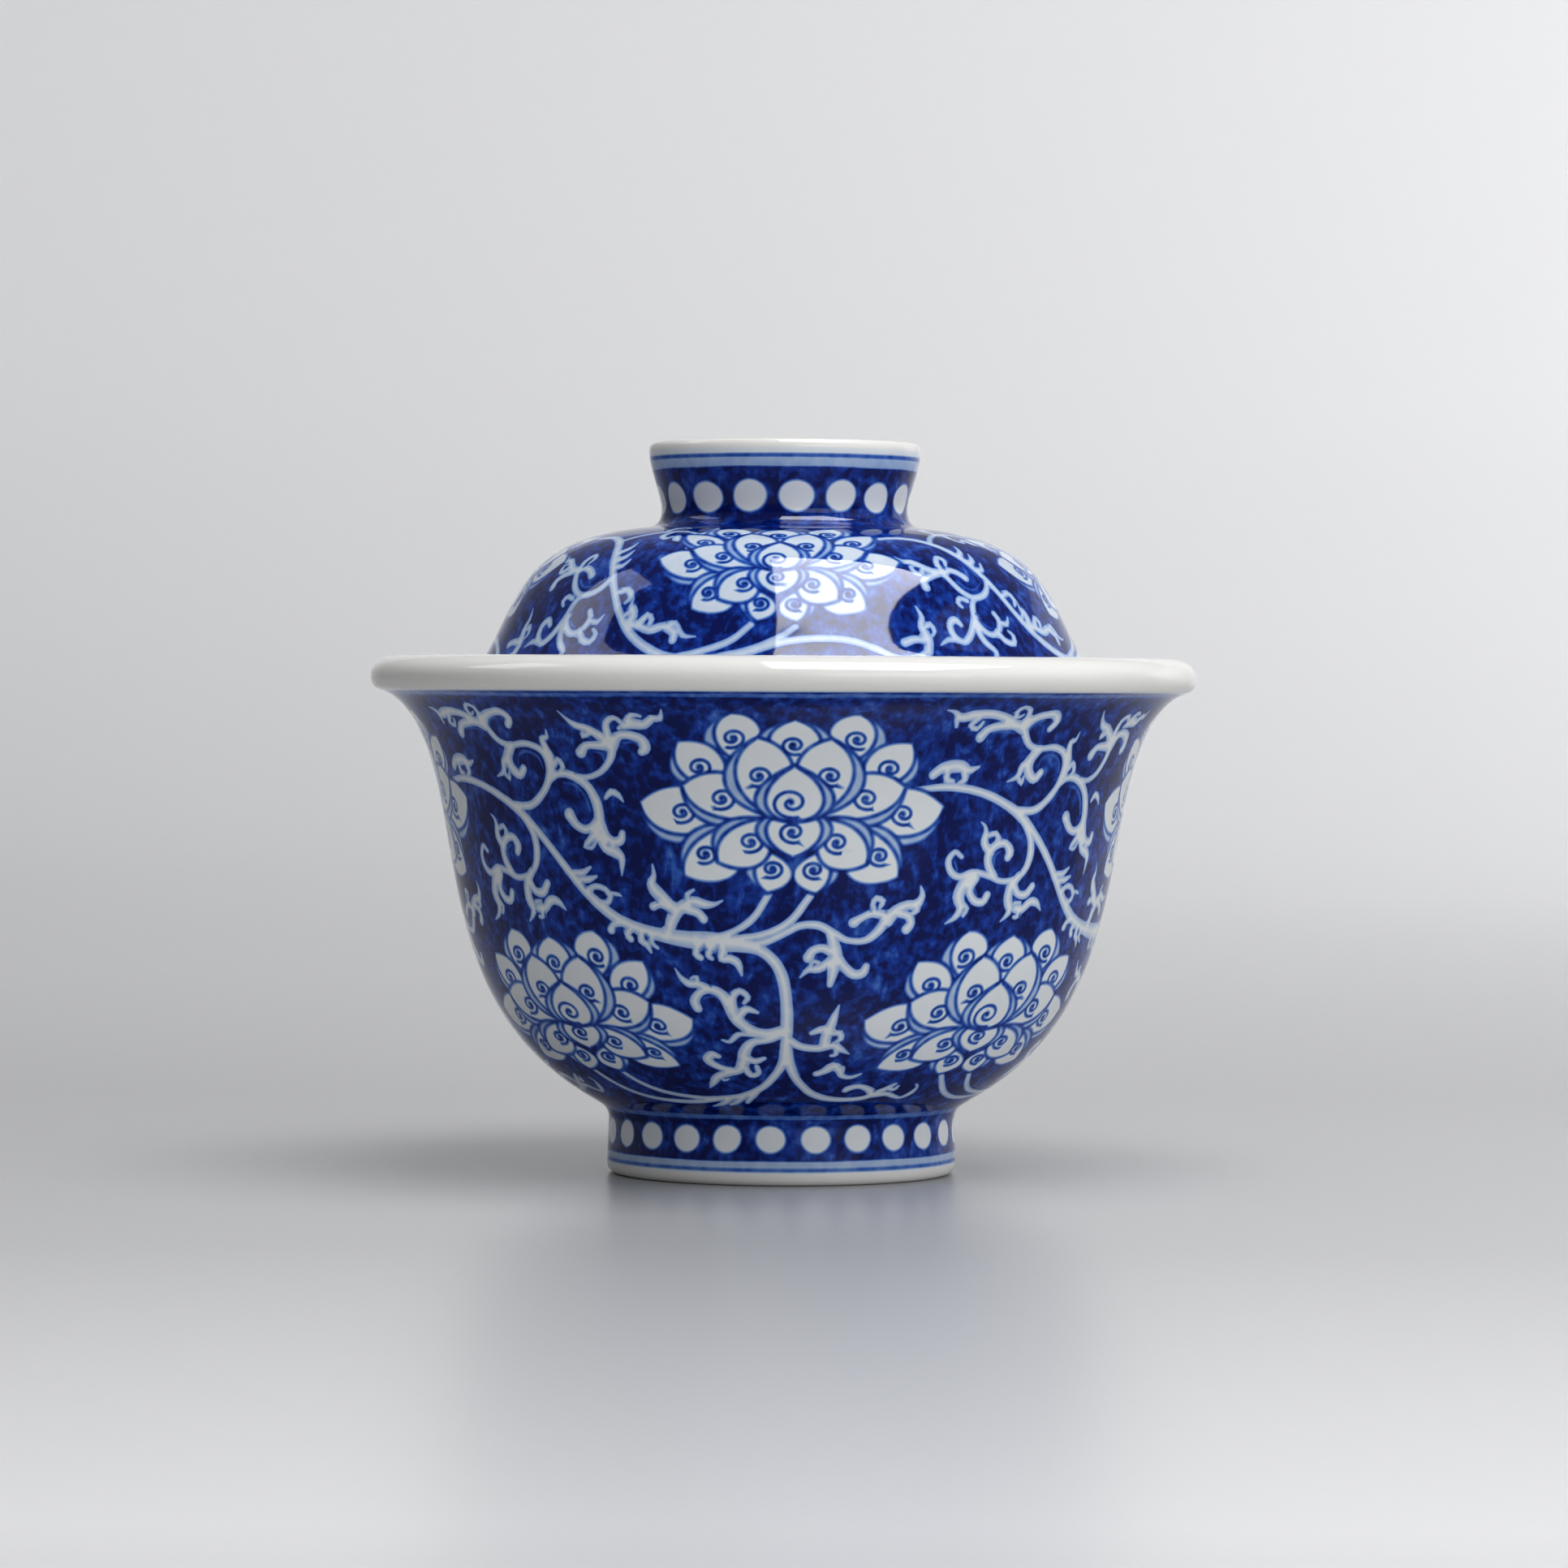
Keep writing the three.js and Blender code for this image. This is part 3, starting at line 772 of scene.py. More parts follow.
class Painting:
    """One repeat of a painting on a surface, drawn flat: its points, triangles and whiteness."""

    def __init__(self, surface, degrees, columns, bands, marks, start=None, whitest=1.0):
        self.surface, self.low, self.high = surface, surface.low, surface.high
        self.left = surface.u(-degrees / 2 if start is None else start)
        self.right = self.left + surface.u(degrees)
        self.columns, self.bands, self.marks = columns, bands, marks
        self.points, self.triangles = self.triangulate(self.rail_lines())
        self.white = whitest * self.whiteness(self.points)

    def whiteness(self, points):
        white = np.interp(points[:, 1], *zip(*self.bands))
        for mark in self.marks:
            close = mark.near(points)
            if close.any():
                white[close] = mark.paint(points[close], white[close])
        return white

    def rail_lines(self):
        """The lines that the triangles must follow, without those that a later mark covers."""
        lines = []
        for number, mark in enumerate(self.marks):
            for rail in mark.rails():
                hidden = (rail[:, 0] < self.left - 1) | (rail[:, 0] > self.right + 1)
                hidden |= (rail[:, 1] < self.low) | (rail[:, 1] > self.high)
                for later in self.marks[number + 1:]:
                    close = later.near(rail) & ~hidden
                    if close.any():
                        hidden[close] |= later.hides(rail[close])
                lines += unbroken(rail, hidden)
        lines += self.level_lines(self.band_ends())
        up = self.uprights()
        for side in (self.left, self.right):
            lines.append(np.stack([np.full(len(up), side), up], 1))
        return lines

    def band_ends(self):
        return [s for s, white in self.bands if self.low + HAIR / 2 < s < self.high - HAIR / 2]

    def level_lines(self, heights):
        """Lines round the ware at both ends, at the given heights and where the profile bends tightly."""
        rows = self.surface.rows()
        gaps = np.diff(rows)
        tight = rows[1:-1][np.minimum(gaps[1:], gaps[:-1]) < 0.6 * GRID]
        across = np.linspace(self.left, self.right, self.columns + 1)
        heights = np.unique(np.round([self.low, *heights, *tight, self.high], 6))
        return [np.stack([across, np.full(len(across), s)], 1) for s in heights]

    def uprights(self):
        """The values of s at which the plain points lie."""
        return np.unique(np.round(np.append(self.surface.rows(), self.band_ends()), 6))

    def triangulate(self, lines):
        points, edges = [], []
        for line in lines:
            add_chain(points, edges, line)
        points += [Vector(point) for point in self.grid()]
        found = delaunay_2d_cdt(points, edges, [], 0, 1e-5, False)
        flat = np.array([tuple(point) for point in found[0]])
        triangles = np.array(found[2])
        middle = flat[triangles].mean(1)
        hair = 1e-6
        kept = (middle[:, 0] > self.left + hair) & (middle[:, 0] < self.right - hair)
        kept &= (middle[:, 1] > self.low + hair) & (middle[:, 1] < self.high - hair)
        used, index = np.unique(triangles[kept], return_inverse=True)
        return flat[used], index.reshape(-1, 3)

    def grid(self):
        """Plain points, each second row of them set a little to the side."""
        wide = max(2, round((self.right - self.left) / GRID))
        across = np.linspace(self.left, self.right, wide + 1)[1:-2]
        rows = self.uprights()[1:-1]
        return [(u + (GRID / 4 if row % 2 else 0), s) for row, s in enumerate(rows) for u in across]

    def border(self):
        """Border edges, each in the direction that its triangle runs."""
        edges = np.vstack([self.triangles[:, corners] for corners in ([0, 1], [1, 2], [2, 0])])
        ordered = np.sort(edges, axis=1)
        code = ordered[:, 0] * len(self.points) + ordered[:, 1]
        first, count = np.unique(code, return_index=True, return_counts=True)[1:]
        return edges[first[count == 1]]

    def back(self):
        """Plain triangles inside the same border, for the hidden side of a skin: its points, its
        triangles and, for each point of the border, the point that lies behind it."""
        border = self.border()
        rim = np.unique(border)
        number = {vertex: place for place, vertex in enumerate(rim.tolist())}
        points = [Vector(point) for point in self.points[rim].tolist()]
        edges = [(number[a], number[b]) for a, b in border.tolist()]
        for line in self.level_lines([])[1:-1]:
            add_chain(points, edges, line[1:-1])
        points += [Vector(point) for point in self.grid()]
        found = delaunay_2d_cdt(points, edges, [], 1, 1e-6, True)
        behind = np.full(len(self.points), -1)
        for place, sources in enumerate(found[3]):
            for source in sources:
                if source < len(rim):
                    behind[rim[source]] = place
        return np.array([tuple(point) for point in found[0]]), np.array(found[2]), behind


def skin_piece(name, painting, turns, material):
    """A closed skin of glaze: the painting in front, a plain back, and edges between them.
    turns are the angles, in degrees, at which the painting repeats in this piece."""
    surface = painting.surface
    back_flat, back_triangles, behind = painting.back()
    border = painting.border()
    size = len(painting.points) + len(back_flat)
    front_a, front_b = border[:, 0], border[:, 1]
    back_a, back_b = (behind[side] + len(painting.points) for side in (front_a, front_b))
    faces = np.vstack([painting.triangles, back_triangles[:, ::-1] + len(painting.points),
                       np.stack([front_b, front_a, back_a], 1), np.stack([front_b, back_a, back_b], 1)])
    kinds = np.repeat([0, 1, 2], [len(painting.triangles), len(back_triangles), 2 * len(border)])
    depth = np.repeat([0.0, GLAZE], [len(painting.points), len(back_flat)])
    blue = np.append(1 - painting.white, np.ones(len(back_flat)))
    flat = np.vstack([np.vstack([painting.points, back_flat]) + (surface.u(turn), 0) for turn in turns])
    faces = np.vstack([faces + number * size for number in range(len(turns))])
    kinds, depth, blue = (np.tile(values, len(turns)) for values in (kinds, depth, blue))
    if len(turns) > 1:
        flat, depth, blue, faces, kinds = joined_round(surface, flat, depth, blue, faces, kinds)
    front, out = surface.wrap(flat)
    place = np.where(depth[:, None] > 0, surface.wrap(flat, GLAZE)[0], front)
    loops = out[faces]
    loops[kinds == 1] *= -1
    edge = kinds == 2
    a, b, c = (place[faces[edge]][:, corner] for corner in range(3))
    across = np.cross(b - a, c - a)
    loops[edge] = (across / (np.linalg.norm(across, axis=1)[:, None] + 1e-12))[:, None, :]
    return piece(name, place, faces, loops.reshape(-1, 3), blue, [material])


def joined_round(surface, flat, depth, blue, faces, kinds):
    """Joins the repeats of a band that goes right round the ware, and drops the edges between them."""
    whole = 2 * math.pi * surface.reference
    key = np.round(np.column_stack([np.mod(flat[:, 0] + 1e-4, whole), flat[:, 1], depth]), 3)
    first, index = np.unique(key, axis=0, return_index=True, return_inverse=True)[1:]
    faces = first[index.reshape(-1)[faces]]
    across = np.mod(flat[faces][:, :, 0] - flat[faces][:, :1, 0] + whole / 2, whole) - whole / 2
    between = (kinds == 2) & (np.abs(across).max(1) < 1e-3)
    faces, kinds = faces[~between], kinds[~between]
    used, faces = np.unique(faces, return_inverse=True)
    return flat[used], depth[used], blue[used], faces.reshape(-1, 3), kinds


def piece(name, points, faces, loop_normals, blue, materials, slots=None):
    """A Blender object from points in millimetres, with its true normals and its blueness."""
    mesh = bpy.data.meshes.new(name)
    mesh.from_pydata((np.asarray(points) * MM).tolist(), [], [list(face) for face in faces])
    mesh.polygons.foreach_set("use_smooth", np.ones(len(mesh.polygons), bool))
    mesh.attributes.new("blue", "FLOAT", "POINT").data.foreach_set("value", np.asarray(blue, np.float32))
    for material in materials:
        mesh.materials.append(material)
    if slots is not None:
        mesh.polygons.foreach_set("material_index", np.array(slots, np.int32))
    mesh.normals_split_custom_set(loop_normals.tolist())
    mesh.update()
    made = bpy.data.objects.new(name, mesh)
    bpy.context.scene.collection.objects.link(made)
    return made


def turned_piece(name, profile, columns, materials):
    """A solid of revolution with the true normal of each run of its profile."""
    angle = np.arange(columns) * 2 * math.pi / columns
    sine, cosine = np.sin(angle), np.cos(angle)
    points, blue, faces, normals, slots = [], [], [], [], []

    def ring(radius, height, shade):
        first = len(points)
        if radius < 1e-6:
            points.append((0, 0, height))
            blue.append(shade)
            return [first] * columns
        points.extend(zip(radius * sine, -radius * cosine, np.full(columns, height)))
        blue.extend([shade] * columns)
        return list(range(first, first + columns))

    last = None
    for run in profile.runs:
        fresh = run["points"] if last is None else run["points"][1:]
        rings = [ring(*point, run["blue"]) for point in fresh]
        rings = rings if last is None else [last] + rings
        for step in range(len(rings) - 1):
            low, high = rings[step], rings[step + 1]
            ends = (run["normals"][step], run["normals"][step + 1])
            for i in range(columns):
                j = (i + 1) % columns
                corners = [(low[i], i, 0), (low[j], j, 0), (high[j], j, 1), (high[i], i, 1)]
                if low[i] == low[j]:
                    corners.pop(1)
                if high[i] == high[j]:
                    corners.pop(2)
                faces.append([vertex for vertex, column, end in corners])
                slots.append(1 if run["bare"] else 0)
                for vertex, column, end in corners:
                    out_r, out_z = ends[end]
                    normals.append((out_r * sine[column], -out_r * cosine[column], out_z))
        last = rings[-1]
    return piece(name, points, faces, np.array(normals), blue, materials, slots)


# ---- Materials ----

# Colour of the glaze by blueness: bare white, pale wash, line and ground, in linear light.
GLAZE_COLOURS = [
    (0.00, (0.78, 0.775, 0.755)),
    (0.06, (0.73, 0.765, 0.79)),
    (0.22, (0.47, 0.57, 0.73)),
    (0.45, (0.18, 0.31, 0.60)),
    (0.66, (0.045, 0.14, 0.48)),
    (0.84, (0.006, 0.045, 0.31)),
    (1.00, (0.001, 0.008, 0.10)),
]
BARE_COLOURS = [(0.3, (0.52, 0.45, 0.37)), (0.7, (0.70, 0.66, 0.59))]


def node(tree, kind, **settings):
    made = tree.nodes.new(kind)
    for key, value in settings.items():
        setattr(made, key, value)
    return made


def noise(tree, coordinates, scale, detail, stretch=(1, 1, 1), distortion=0.0):
    """Noise with features of 1 / scale metres, squeezed along each axis by stretch."""
    mapping = node(tree, "ShaderNodeMapping")
    mapping.inputs["Scale"].default_value = stretch
    texture = node(tree, "ShaderNodeTexNoise")
    texture.inputs["Scale"].default_value = scale
    texture.inputs["Detail"].default_value = detail
    texture.inputs["Distortion"].default_value = distortion
    tree.links.new(coordinates, mapping.inputs["Vector"])
    tree.links.new(mapping.outputs["Vector"], texture.inputs["Vector"])
    return texture.outputs["Fac"]


def remap(tree, value, low, high, to_low, to_high):
    made = node(tree, "ShaderNodeMapRange", clamp=True)
    for number, setting in enumerate((low, high, to_low, to_high), 1):
        made.inputs[number].default_value = setting
    tree.links.new(value, made.inputs[0])
    return made.outputs[0]


def maths(tree, operation, a, b):
    made = node(tree, "ShaderNodeMath", operation=operation)
    for socket, value in zip(made.inputs, (a, b)):
        if isinstance(value, (int, float)):
            socket.default_value = value
        else:
            tree.links.new(value, socket)
    return made.outputs[0]


def spread(tree, texture, low, high):
    """Spreads the middle of a noise, where nearly all of it lies, over low to high."""
    return remap(tree, texture, 0.3, 0.7, low, high)


def new_material(name):
    """An empty material, with its tree, its shader, and the place on the piece in metres."""
    material = bpy.data.materials.new(name)
    material.use_nodes = True
    tree = material.node_tree
    where = node(tree, "ShaderNodeTexCoord").outputs["Object"]
    return material, tree, tree.nodes["Principled BSDF"], where


def colour_ramp(tree, factor, colours):
    """The colour at factor, from rows of (place, (red, green, blue))."""
    ramp = node(tree, "ShaderNodeValToRGB")
    elements = ramp.color_ramp.elements
    for place, colour in colours[1:-1]:
        elements.new(place)
    for element, (place, colour) in zip(elements, colours):
        element.position = place
        element.color = (*colour, 1)
    tree.links.new(factor, ramp.inputs["Fac"])
    return ramp.outputs["Color"]


def add_bump(tree, shader, height, strength, distance):
    bump = node(tree, "ShaderNodeBump")
    bump.inputs["Strength"].default_value = strength
    bump.inputs["Distance"].default_value = distance
    tree.links.new(height, bump.inputs["Height"])
    tree.links.new(bump.outputs["Normal"], shader.inputs["Normal"])


def painted_glaze(name):
    """Underglaze cobalt on white porcelain: brushed washes in the ground, under a clear gloss."""
    material, tree, shader, where = new_material(name)
    blue = node(tree, "ShaderNodeAttribute", attribute_name="blue").outputs["Fac"]

    # The ground is laid in with a loaded brush: pale streaks, dark pools and fine dabs.
    streaks = noise(tree, where, scale=420, detail=4, stretch=(1, 1, 0.45), distortion=1.2)
    streaks = remap(tree, streaks, 0.50, 0.78, 0, 0.24)
    pools = noise(tree, where, scale=150, detail=3, stretch=(1, 1, 0.8), distortion=0.6)
    pools = remap(tree, pools, 0.35, 0.70, -0.04, 0.10)
    dabs = spread(tree, noise(tree, where, scale=1500, detail=2, stretch=(1, 1, 0.6)), -0.03, 0.05)
    ground = remap(tree, blue, 0.80, 1.0, 0, 1)
    wash = maths(tree, "MULTIPLY", maths(tree, "ADD", maths(tree, "ADD", streaks, pools), dabs), ground)
    # Lines and edges carry a little more or less colour along their length.
    uneven = spread(tree, noise(tree, where, scale=700, detail=2), 0.86, 1.12)
    depth = maths(tree, "SUBTRACT", maths(tree, "MULTIPLY", blue, uneven), wash)
    tree.links.new(colour_ramp(tree, depth, GLAZE_COLOURS), shader.inputs["Base Color"])

    roughness = spread(tree, noise(tree, where, scale=90, detail=2), 0.03, 0.07)
    tree.links.new(roughness, shader.inputs["Roughness"])
    add_bump(tree, shader, noise(tree, where, scale=160, detail=1), strength=0.12, distance=0.0002)
    shader.inputs["Specular IOR Level"].default_value = 0.25
    return material


def bare_porcelain(name):
    """Unglazed porcelain where a ring stood in the kiln: dry, warm and a little gritty."""
    material, tree, shader, where = new_material(name)
    colour = colour_ramp(tree, noise(tree, where, scale=900, detail=6), BARE_COLOURS)
    tree.links.new(colour, shader.inputs["Base Color"])
    roughness = spread(tree, noise(tree, where, scale=2500, detail=3), 0.5, 0.75)
    tree.links.new(roughness, shader.inputs["Roughness"])
    add_bump(tree, shader, noise(tree, where, scale=4000, detail=3), strength=0.4, distance=0.00005)
    return material


# ---- What the bowl and the lid share ----

SCROLL_REACH = 48                   # degrees from the front: half a quarter turn, and a little more
ECHO_WHITES = (0.25, 0.45)          # at the edge of a stroke and along its middle
SCROLL_WHITES = (0.68, 0.94)
DOT_STEPS = 36
DOT_EDGE = 0.22


def near_strokes(strokes, turn, weight=1.0):
    """The strokes turned round the ware, all that then reach into the quarter turn at the front."""
    near = []
    for stroke in strokes:
        angles = [row[0] + turn for row in stroke]
        if max(angles) > -SCROLL_REACH and min(angles) < SCROLL_REACH:
            near.append([(angle + turn, s, width * weight) for angle, s, width in stroke])
    return near


def scroll_marks(surface, vines, leaves, echoes):
    """The vines and leaves in the quarter turn at the front, over their pale echoes."""
    strokes, pale = [], []
    for turn in (-2 * QUARTER, -QUARTER, 0, QUARTER):
        pale += near_strokes(echoes, turn)
        strokes += near_strokes(vines, turn) + near_strokes(leaves, turn, LEAF_WEIGHT)
    return [Scroll(surface, pale, *ECHO_WHITES), Scroll(surface, strokes, *SCROLL_WHITES)]


class DotRow:
    """Evenly spaced white dots round the ware. first is in degrees from the front, height is s."""

    def __init__(self, count, columns, first, height, half_size):
        self.count, self.columns = count, columns
        self.first, self.height, self.half_size = first, height, half_size

    def dot(self, surface):
        angle = np.linspace(0, 2 * math.pi, DOT_STEPS, endpoint=False)
        half_width, half_height = self.half_size
        ring = np.stack([half_width * np.cos(angle), half_height * np.sin(angle)], 1)
        return Patch(surface, surface.local(ring, self.first, self.height), edge=DOT_EDGE)

    def band(self, name, surface, bands, material):
        """The closed skin that holds the dots: one cell is painted, and repeated for each dot."""
        cell = 360 / self.count
        start = math.floor((self.first - cell / 2) / (360 / self.columns)) * 360 / self.columns
        columns = self.columns // self.count
        painting = Painting(surface, cell, columns, bands, [self.dot(surface)], start)
        return skin_piece(name, painting, [number * cell for number in range(self.count)], material)


def quarter_skins(name, painting, material):
    return [skin_piece(f"{name}_{number + 1}", painting, [number * QUARTER], material)
            for number in range(QUARTERS)]


def assemble(body, pieces):
    """Makes the pieces move with the CAD body, and hides the body's own CAD mesh."""
    for made in pieces:
        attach(made, body)
    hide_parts(body)


# ---- The bowl ----

def bowl_profiles():
    """The bowl's own outline, and the two stretches of it that are painted."""
    foot = Profile(FOOT_RADIUS, 1.4)
    foot.line(21.8, FOOT_HEIGHT)
    foot.bend(24, (21.8, 8.3), (22.7, 8.75), (24, 9.5))
    wall = Profile(24, 9.5)
    wall.bend(90, (37.1, 17), (39.7, 28.5), (BELLY_RADIUS, BELLY_TOP))
    wall.bend(90, (42.9, 45.5), (44.4, 59.1), (50.9, 60.7))
    wall.bend(12, (51.6, 60.9), (MOUTH, 61.6), (MOUTH, 62.4))
    foot_surface = Surface(foot, reference=22)
    wall_surface = Surface(wall, reference=42, start=foot_surface.high)

    body = Profile(0, RECESS_CEILING)
    body.line(14, 6.0)
    body.bend(8, (16.2, 6.0), (17.2, 5.6), (17.5, 3.8))
    body.line(18.0, 0.5)
    body.line(18.4, 0, bare=True)
    body.line(20.8, 0, bare=True)
    body.bend(8, (21.6, 0.1), (FOOT_RADIUS, 0.6), (FOOT_RADIUS, 1.4))
    body.under(foot_surface)
    body.under(wall_surface)
    body.bend(12, (MOUTH, 64), (50.4, LIP_TOP), (48.5, LIP_TOP))
    body.bend(14, (47, LIP_TOP), (46.2, 63.5), (45.3, 61.9))
    body.bend(28, (43.3, 58.3), (41.0, 49.0), (BELLY_RADIUS - WALL, BELLY_TOP))
    body.bend(44, (36.5, 20), (30, FLOOR), (0, FLOOR))
    return body, foot_surface, wall_surface


# Whiteness up the foot and the wall, as (s, whiteness).
FOOT_BANDS = [(0, 1.0), (0.25, 0.9), (0.5, 0.36), (0.7, 0.36), (0.95, 0.72), (1.55, 0.72), (1.8, 0.0),
              (6.7, 0.0), (7.0, 0.42), (7.6, 0.42), (7.9, 0.0), (9.2, 0.0)]
WALL_BANDS = [(9, 0.0), (67.6, 0.0), (67.9, 0.34), (68.5, 0.38), (68.75, 0.12), (69.05, 0.15),
              (69.4, 0.8), (69.8, 1.0), (72, 1.0)]
FOOT_DOT = (1.85, 1.7)              # half width and half height
FOOT_DOT_HEIGHT = 4.3
FOOT_DOT_START = -3.6               # degrees from the front to the first dot

# Flowers, as degrees from the front, s, size and squash.
BOWL_FLOWERS = [(-45.5, 25, 0.96, 0.86), (44.5, 25, 0.96, 0.86), (1.6, 52, 1.0, 1.0)]


def make_bowl():
    body, foot, wall = bowl_profiles()
    glaze = painted_glaze("bowl_glaze")
    white = turned_piece("bowl_body", body, BOWL_COLUMNS, [glaze, bare_porcelain("bowl_bare")])
    dots = DotRow(FOOT_DOTS, BOWL_COLUMNS, FOOT_DOT_START, FOOT_DOT_HEIGHT, FOOT_DOT)
    band = dots.band("bowl_foot_band", foot, FOOT_BANDS, glaze)
    marks = scroll_marks(wall, BOWL_VINES, BOWL_LEAVES, BOWL_ECHOES)
    for place in BOWL_FLOWERS:
        marks += flower(Place(wall, *place))
    painting = Painting(wall, QUARTER, BOWL_COLUMNS // QUARTERS, WALL_BANDS, marks)
    assemble("bowl", [white, band, *quarter_skins("bowl_painting", painting, glaze)])


# ---- The lid ----

DOME_ZERO = 66.0                    # height on the dome from which s is measured


def lid_profiles():
    """The lid's own outline, and the two stretches of it that are painted."""
    dome = Profile(43.0, 62.3)
    dome.bend(30, (40.6, 62.5), (38.5, 63.0), (37, DOME_ZERO))
    dome.bend(80, (32.9, 74.2), (31.5, 79.9), (17.5, DOME_TOP))
    knob = Profile(17.5, DOME_TOP)
    knob.bend(16, (16.2, 81.35), (KNOB_WAIST, 82.0), (KNOB_WAIST, 83.4))
    knob.bend(30, (KNOB_WAIST, 85.2), (KNOB_RADIUS, 88.6), (KNOB_RADIUS, 90.8))
    dome_surface = Surface(dome, reference=30, zero=DOME_ZERO)
    knob_surface = Surface(knob, reference=16)

    body = Profile(0, DOME_INSIDE_TOP)
    body.bend(34, (30, DOME_INSIDE_TOP), (30.9, 73.2), (35.02, 65.0))
    body.bend(12, (36.4, 62.2), (38.4, 60.5), (41.8, LID_FOOT))
    body.line(43.4, LID_FOOT, bare=True)
    body.bend(8, (44, LID_FOOT), (LID_EDGE, 60.7), (LID_EDGE, 61.2))
    body.bend(8, (LID_EDGE, 61.9), (43.9, 62.2), (43.0, 62.3))
    body.under(dome_surface)
    body.under(knob_surface)
    body.bend(8, (KNOB_RADIUS, 91.5), (16.8, KNOB_TOP), (16.3, KNOB_TOP))
    body.line(15.5, KNOB_TOP)
    body.bend(8, (15.1, KNOB_TOP), (KNOB_INSIDE, 91.5), (KNOB_INSIDE, 90.9))
    body.bend(14, (KNOB_INSIDE, 88.5), (13.1, 86), (13.0, 83.8))
    body.bend(12, (12.9, 82.4), (11.6, KNOB_FLOOR), (10, KNOB_FLOOR))
    body.line(0, KNOB_FLOOR)
    return body, dome_surface, knob_surface


# Whiteness up the dome and the knob, as (s, whiteness).
DOME_BANDS = [(-12, 1.0), (-6.9, 1.0), (-6.5, 0.3), (-6.2, 0.3), (-5.9, 0.6), (-5.3, 0.6), (-5.0, 0.0),
              (40, 0.0)]
KNOB_BANDS = [(0, 0.0), (8.35, 0.0), (8.6, 0.66), (9.6, 0.7), (9.8, 0.28), (10.05, 0.28), (10.3, 0.9),
              (12, 1.0)]
DOME_WHITEST = 0.9                  # the dome's painting is a little bluer than the bowl's
KNOB_DOT = (2.2, 2.0)               # half width and half height
KNOB_DOT_Z = 84.8
KNOB_DOT_START = 4.9                # degrees from the front to the first dot
LID_FLOWER = (-1.5, 11.3, 0.83)     # degrees from the front, s and size


def make_lid():
    body, dome, knob = lid_profiles()
    glaze = painted_glaze("lid_glaze")
    white = turned_piece("lid_body", body, LID_COLUMNS, [glaze, bare_porcelain("lid_bare")])
    dots = DotRow(KNOB_DOTS, LID_COLUMNS, KNOB_DOT_START, knob.at_height(KNOB_DOT_Z), KNOB_DOT)
    band = dots.band("lid_knob_band", knob, KNOB_BANDS, glaze)
    marks = scroll_marks(dome, LID_VINES, LID_LEAVES, LID_ECHOES)
    marks += flower(Place(dome, *LID_FLOWER))
    painting = Painting(dome, QUARTER, LID_COLUMNS // QUARTERS, DOME_BANDS, marks, whitest=DOME_WHITEST)
    assemble("lid", [white, band, *quarter_skins("lid_painting", painting, glaze)])


# ---- Camera, floor and lights ----

CAMERA_DISTANCE = 730
CAMERA_HEIGHT = 61.4
LOOK_AT = (0.1, 0, 49.0)
CAMERA_LENS = 132.9
CAMERA_ROLL = math.radians(0.3)


def make_camera():
    data = bpy.data.cameras.new("camera")
    data.lens = CAMERA_LENS
    data.sensor_width = 36
    data.clip_end = 20
    camera = bpy.data.objects.new("camera", data)
    bpy.context.scene.collection.objects.link(camera)
    place = Vector((0, -CAMERA_DISTANCE, CAMERA_HEIGHT))
    aim = (Vector(LOOK_AT) - place).to_track_quat("-Z", "Y").to_matrix().to_4x4()
    camera.matrix_world = Matrix.Translation(place * MM) @ aim @ Matrix.Rotation(CAMERA_ROLL, 4, "Z")
    bpy.context.scene.camera = camera


# In metres. How pale the backdrop is painted, from its front to its back; its darker greys in front and
# round the ware are painted shade.
BACKDROP_FRONT, BACKDROP_BACK = -1, 2
BACKDROP_SHADE_GREYS = [(0.0, 0.37), (0.19, 0.46), (0.23, 0.72), (0.30, 0.47), (0.38, 0.45), (0.5, 0.62),
                  (0.85, 0.92)]
BACKDROP_STRIPS = 64
# Across, painted shade dims the greys towards the side grey, from one distance to the other.
SIDE_NEAR, SIDE_FAR, SIDE_SHADE_GREY = 0.40, 0.85, 0.60


def backdrop_painted_shade():
    """Satin paint, with painted shade: greys that change slowly with the distance behind the ware, darker
    in front and round the ware.
    """
    material, tree, shader, where = new_material("backdrop_painted_shade")
    place = node(tree, "ShaderNodeSeparateXYZ")
    tree.links.new(where, place.inputs[0])
    depth = remap(tree, place.outputs["Y"], BACKDROP_FRONT, BACKDROP_BACK, 0, 1)
    shade_greys = [(position, (grey, grey, grey * 1.01)) for position, grey in BACKDROP_SHADE_GREYS]
    # Painted shade: the side walls are darker, so that the ware does not mirror a bright room.
    side = maths(tree, "ABSOLUTE", place.outputs["X"], 0)
    side_shade = node(tree, "ShaderNodeVectorMath", operation="SCALE")
    tree.links.new(colour_ramp(tree, depth, shade_greys), side_shade.inputs[0])
    tree.links.new(remap(tree, side, SIDE_NEAR, SIDE_FAR, 1, SIDE_SHADE_GREY), side_shade.inputs["Scale"])
    tree.links.new(side_shade.outputs[0], shader.inputs["Base Color"])
    shader.inputs["Roughness"].default_value = 0.30
    return material


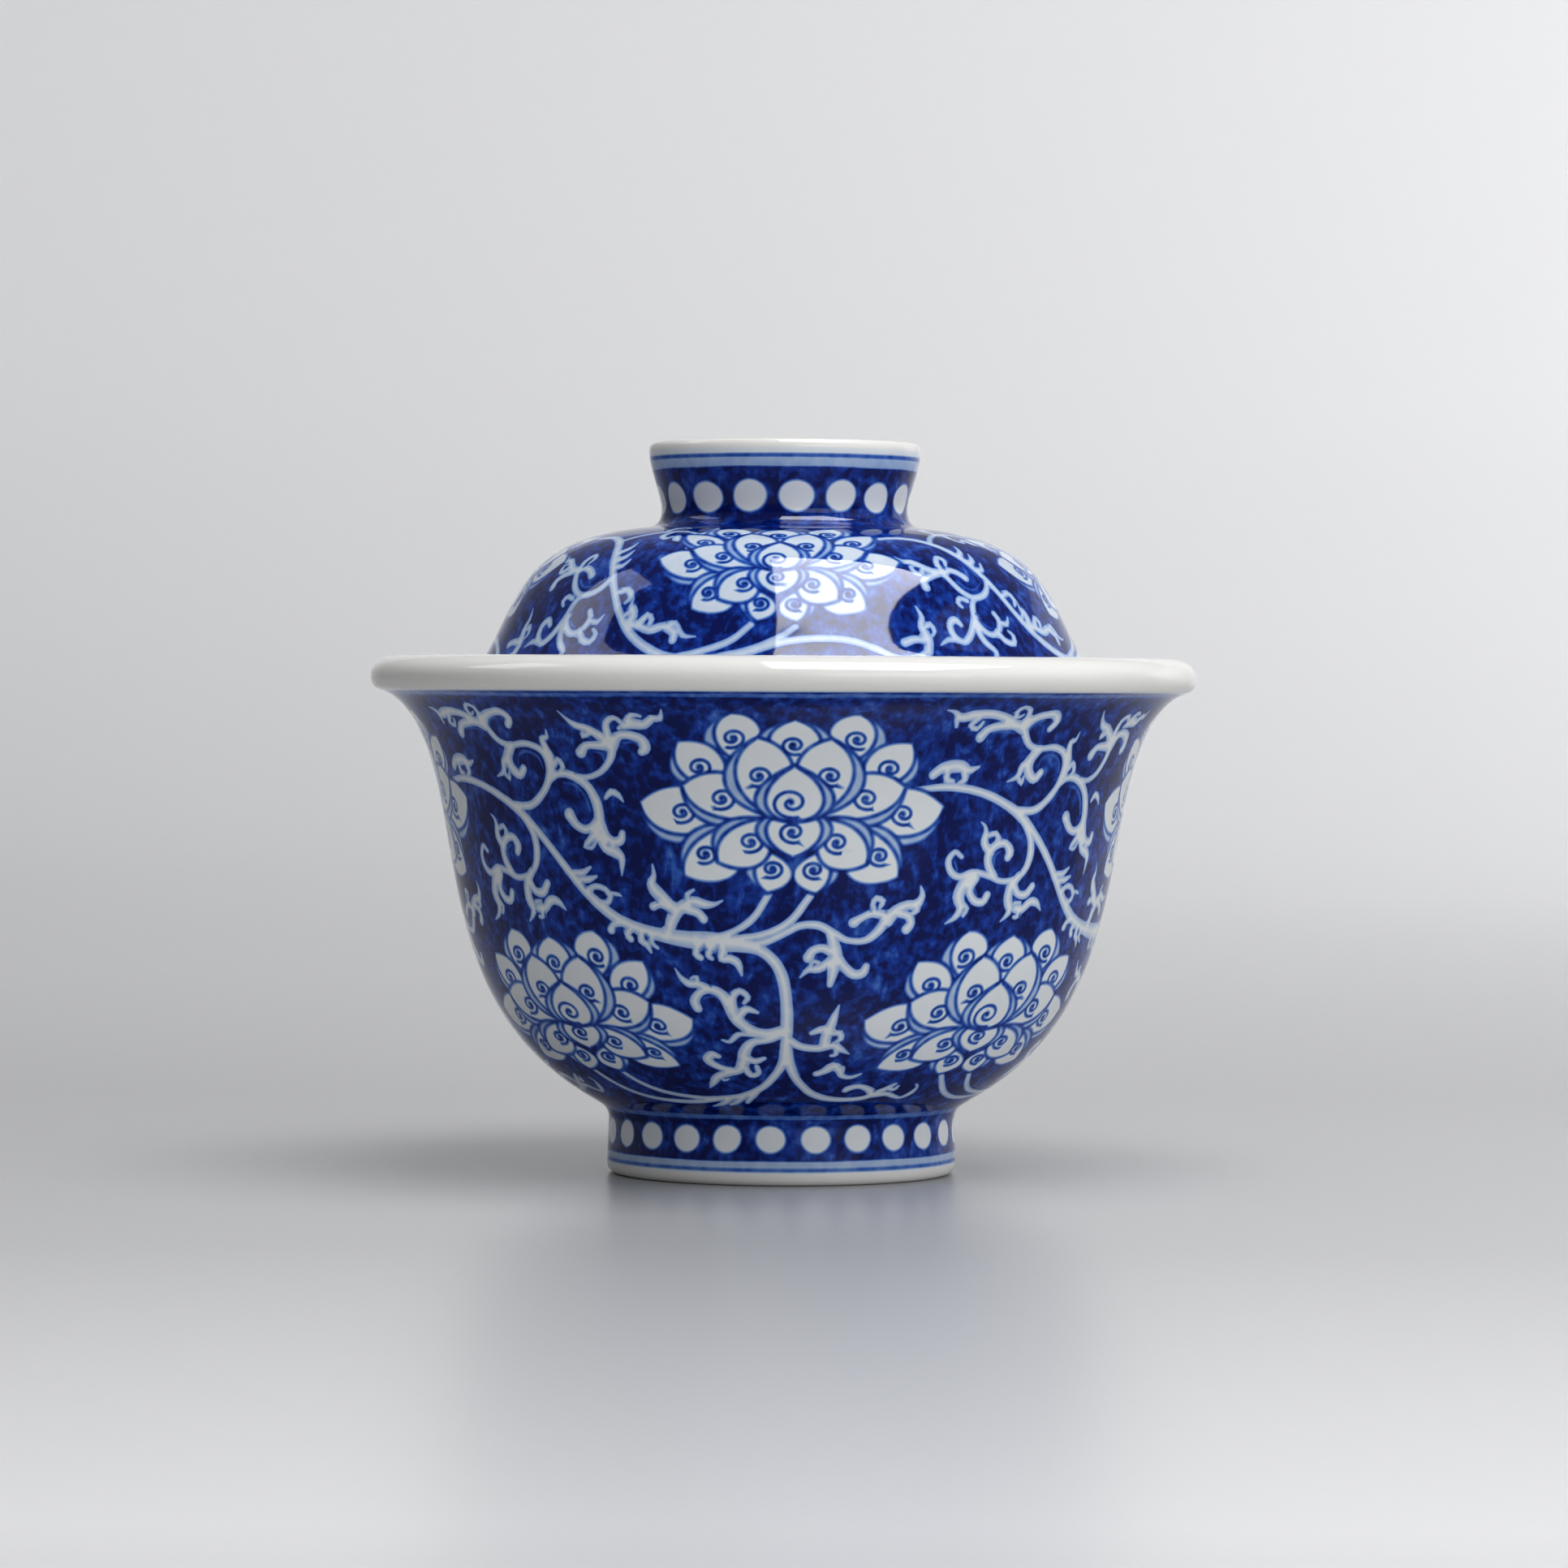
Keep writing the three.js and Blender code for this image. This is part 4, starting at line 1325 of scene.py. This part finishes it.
def make_backdrop():
    """A pale table top that curves up, far off, into a plain wall all round."""
    wall = bezier((1.0, 0), (1.5, 0), (1.75, 0.2), (1.8, 0.75), 16)[0]
    rings = [(0.25, 0), (0.6, 0), *wall.tolist()]
    points, faces = [(0, 0, 0)], []
    for radius, height in rings:
        for strip in range(BACKDROP_STRIPS):
            angle = 2 * math.pi * strip / BACKDROP_STRIPS
            points.append((radius * math.cos(angle), radius * math.sin(angle), height))
    for ring in range(len(rings)):
        for strip in range(BACKDROP_STRIPS):
            after = (strip + 1) % BACKDROP_STRIPS
            outer = (1 + ring * BACKDROP_STRIPS + strip, 1 + ring * BACKDROP_STRIPS + after)
            inner = (0,) if ring == 0 else (outer[1] - BACKDROP_STRIPS, outer[0] - BACKDROP_STRIPS)
            faces.append((*outer, *inner))
    mesh = bpy.data.meshes.new("backdrop")
    mesh.from_pydata(points, [], faces)
    mesh.polygons.foreach_set("use_smooth", [True] * len(faces))
    mesh.materials.append(backdrop_painted_shade())
    backdrop = bpy.data.objects.new("backdrop", mesh)
    bpy.context.scene.collection.objects.link(backdrop)


def area_light(name, place, facing, width, height, power):
    """A rectangular softbox, in metres and watts. Its width is level, and facing is the way it shines."""
    data = bpy.data.lights.new(name, "AREA")
    data.shape = "RECTANGLE"
    data.size, data.size_y = width, height
    data.energy = power
    light = bpy.data.objects.new(name, data)
    bpy.context.scene.collection.objects.link(light)
    aim = Vector(facing).to_track_quat("-Z", "Y").to_matrix().to_4x4()
    light.matrix_world = Matrix.Translation(place) @ aim
    return light


def make_lights():
    overhead = area_light("overhead_softbox", (0.18, -0.25, 0.85), (0, 0, -1), 0.60, 0.68, 4.5)
    overhead.visible_glossy = False
    # Nearly the same softbox as the glaze mirrors it, bright and crisp.
    mirrored = area_light("mirrored_softbox", (0.27, -0.27, 0.83), (0, 0, -1), 0.62, 0.72, 22)
    mirrored.visible_diffuse = False
    # A dim window to the left, which is only seen mirrored in the lid.
    window = area_light("left_window", (-0.72, 0.12, 0.72), (0.7, -0.1, -0.7), 0.34, 0.40, 1.3)
    window.visible_diffuse = False
    area_light("front_softbox", (0.70, -1.20, 0.42), (-0.50, 0.86, -0.27), 1.1, 0.45, 4.2)
    area_light("right_window", (1.2, -0.3, 0.6), (-1, 0.25, -0.5), 1.0, 0.9, 2)
    area_light("backdrop_wash", (1.1, 0.7, 0.55), (-0.5, 1, -0.1), 0.5, 0.5, 9.5)


def make_world():
    """Soft light from all round, and a print with the contrast of a studio photograph."""
    world = bpy.data.worlds.new("studio")
    bpy.context.scene.world = world
    world.use_nodes = True
    background = world.node_tree.nodes["Background"]
    background.inputs["Color"].default_value = (0.78, 0.79, 0.80, 1)
    background.inputs["Strength"].default_value = 0.42
    bpy.context.scene.view_settings.view_transform = "Standard"
    bpy.context.scene.view_settings.look = "Medium High Contrast"


make_camera()
make_backdrop()
make_lights()
make_world()
make_bowl()
make_lid()
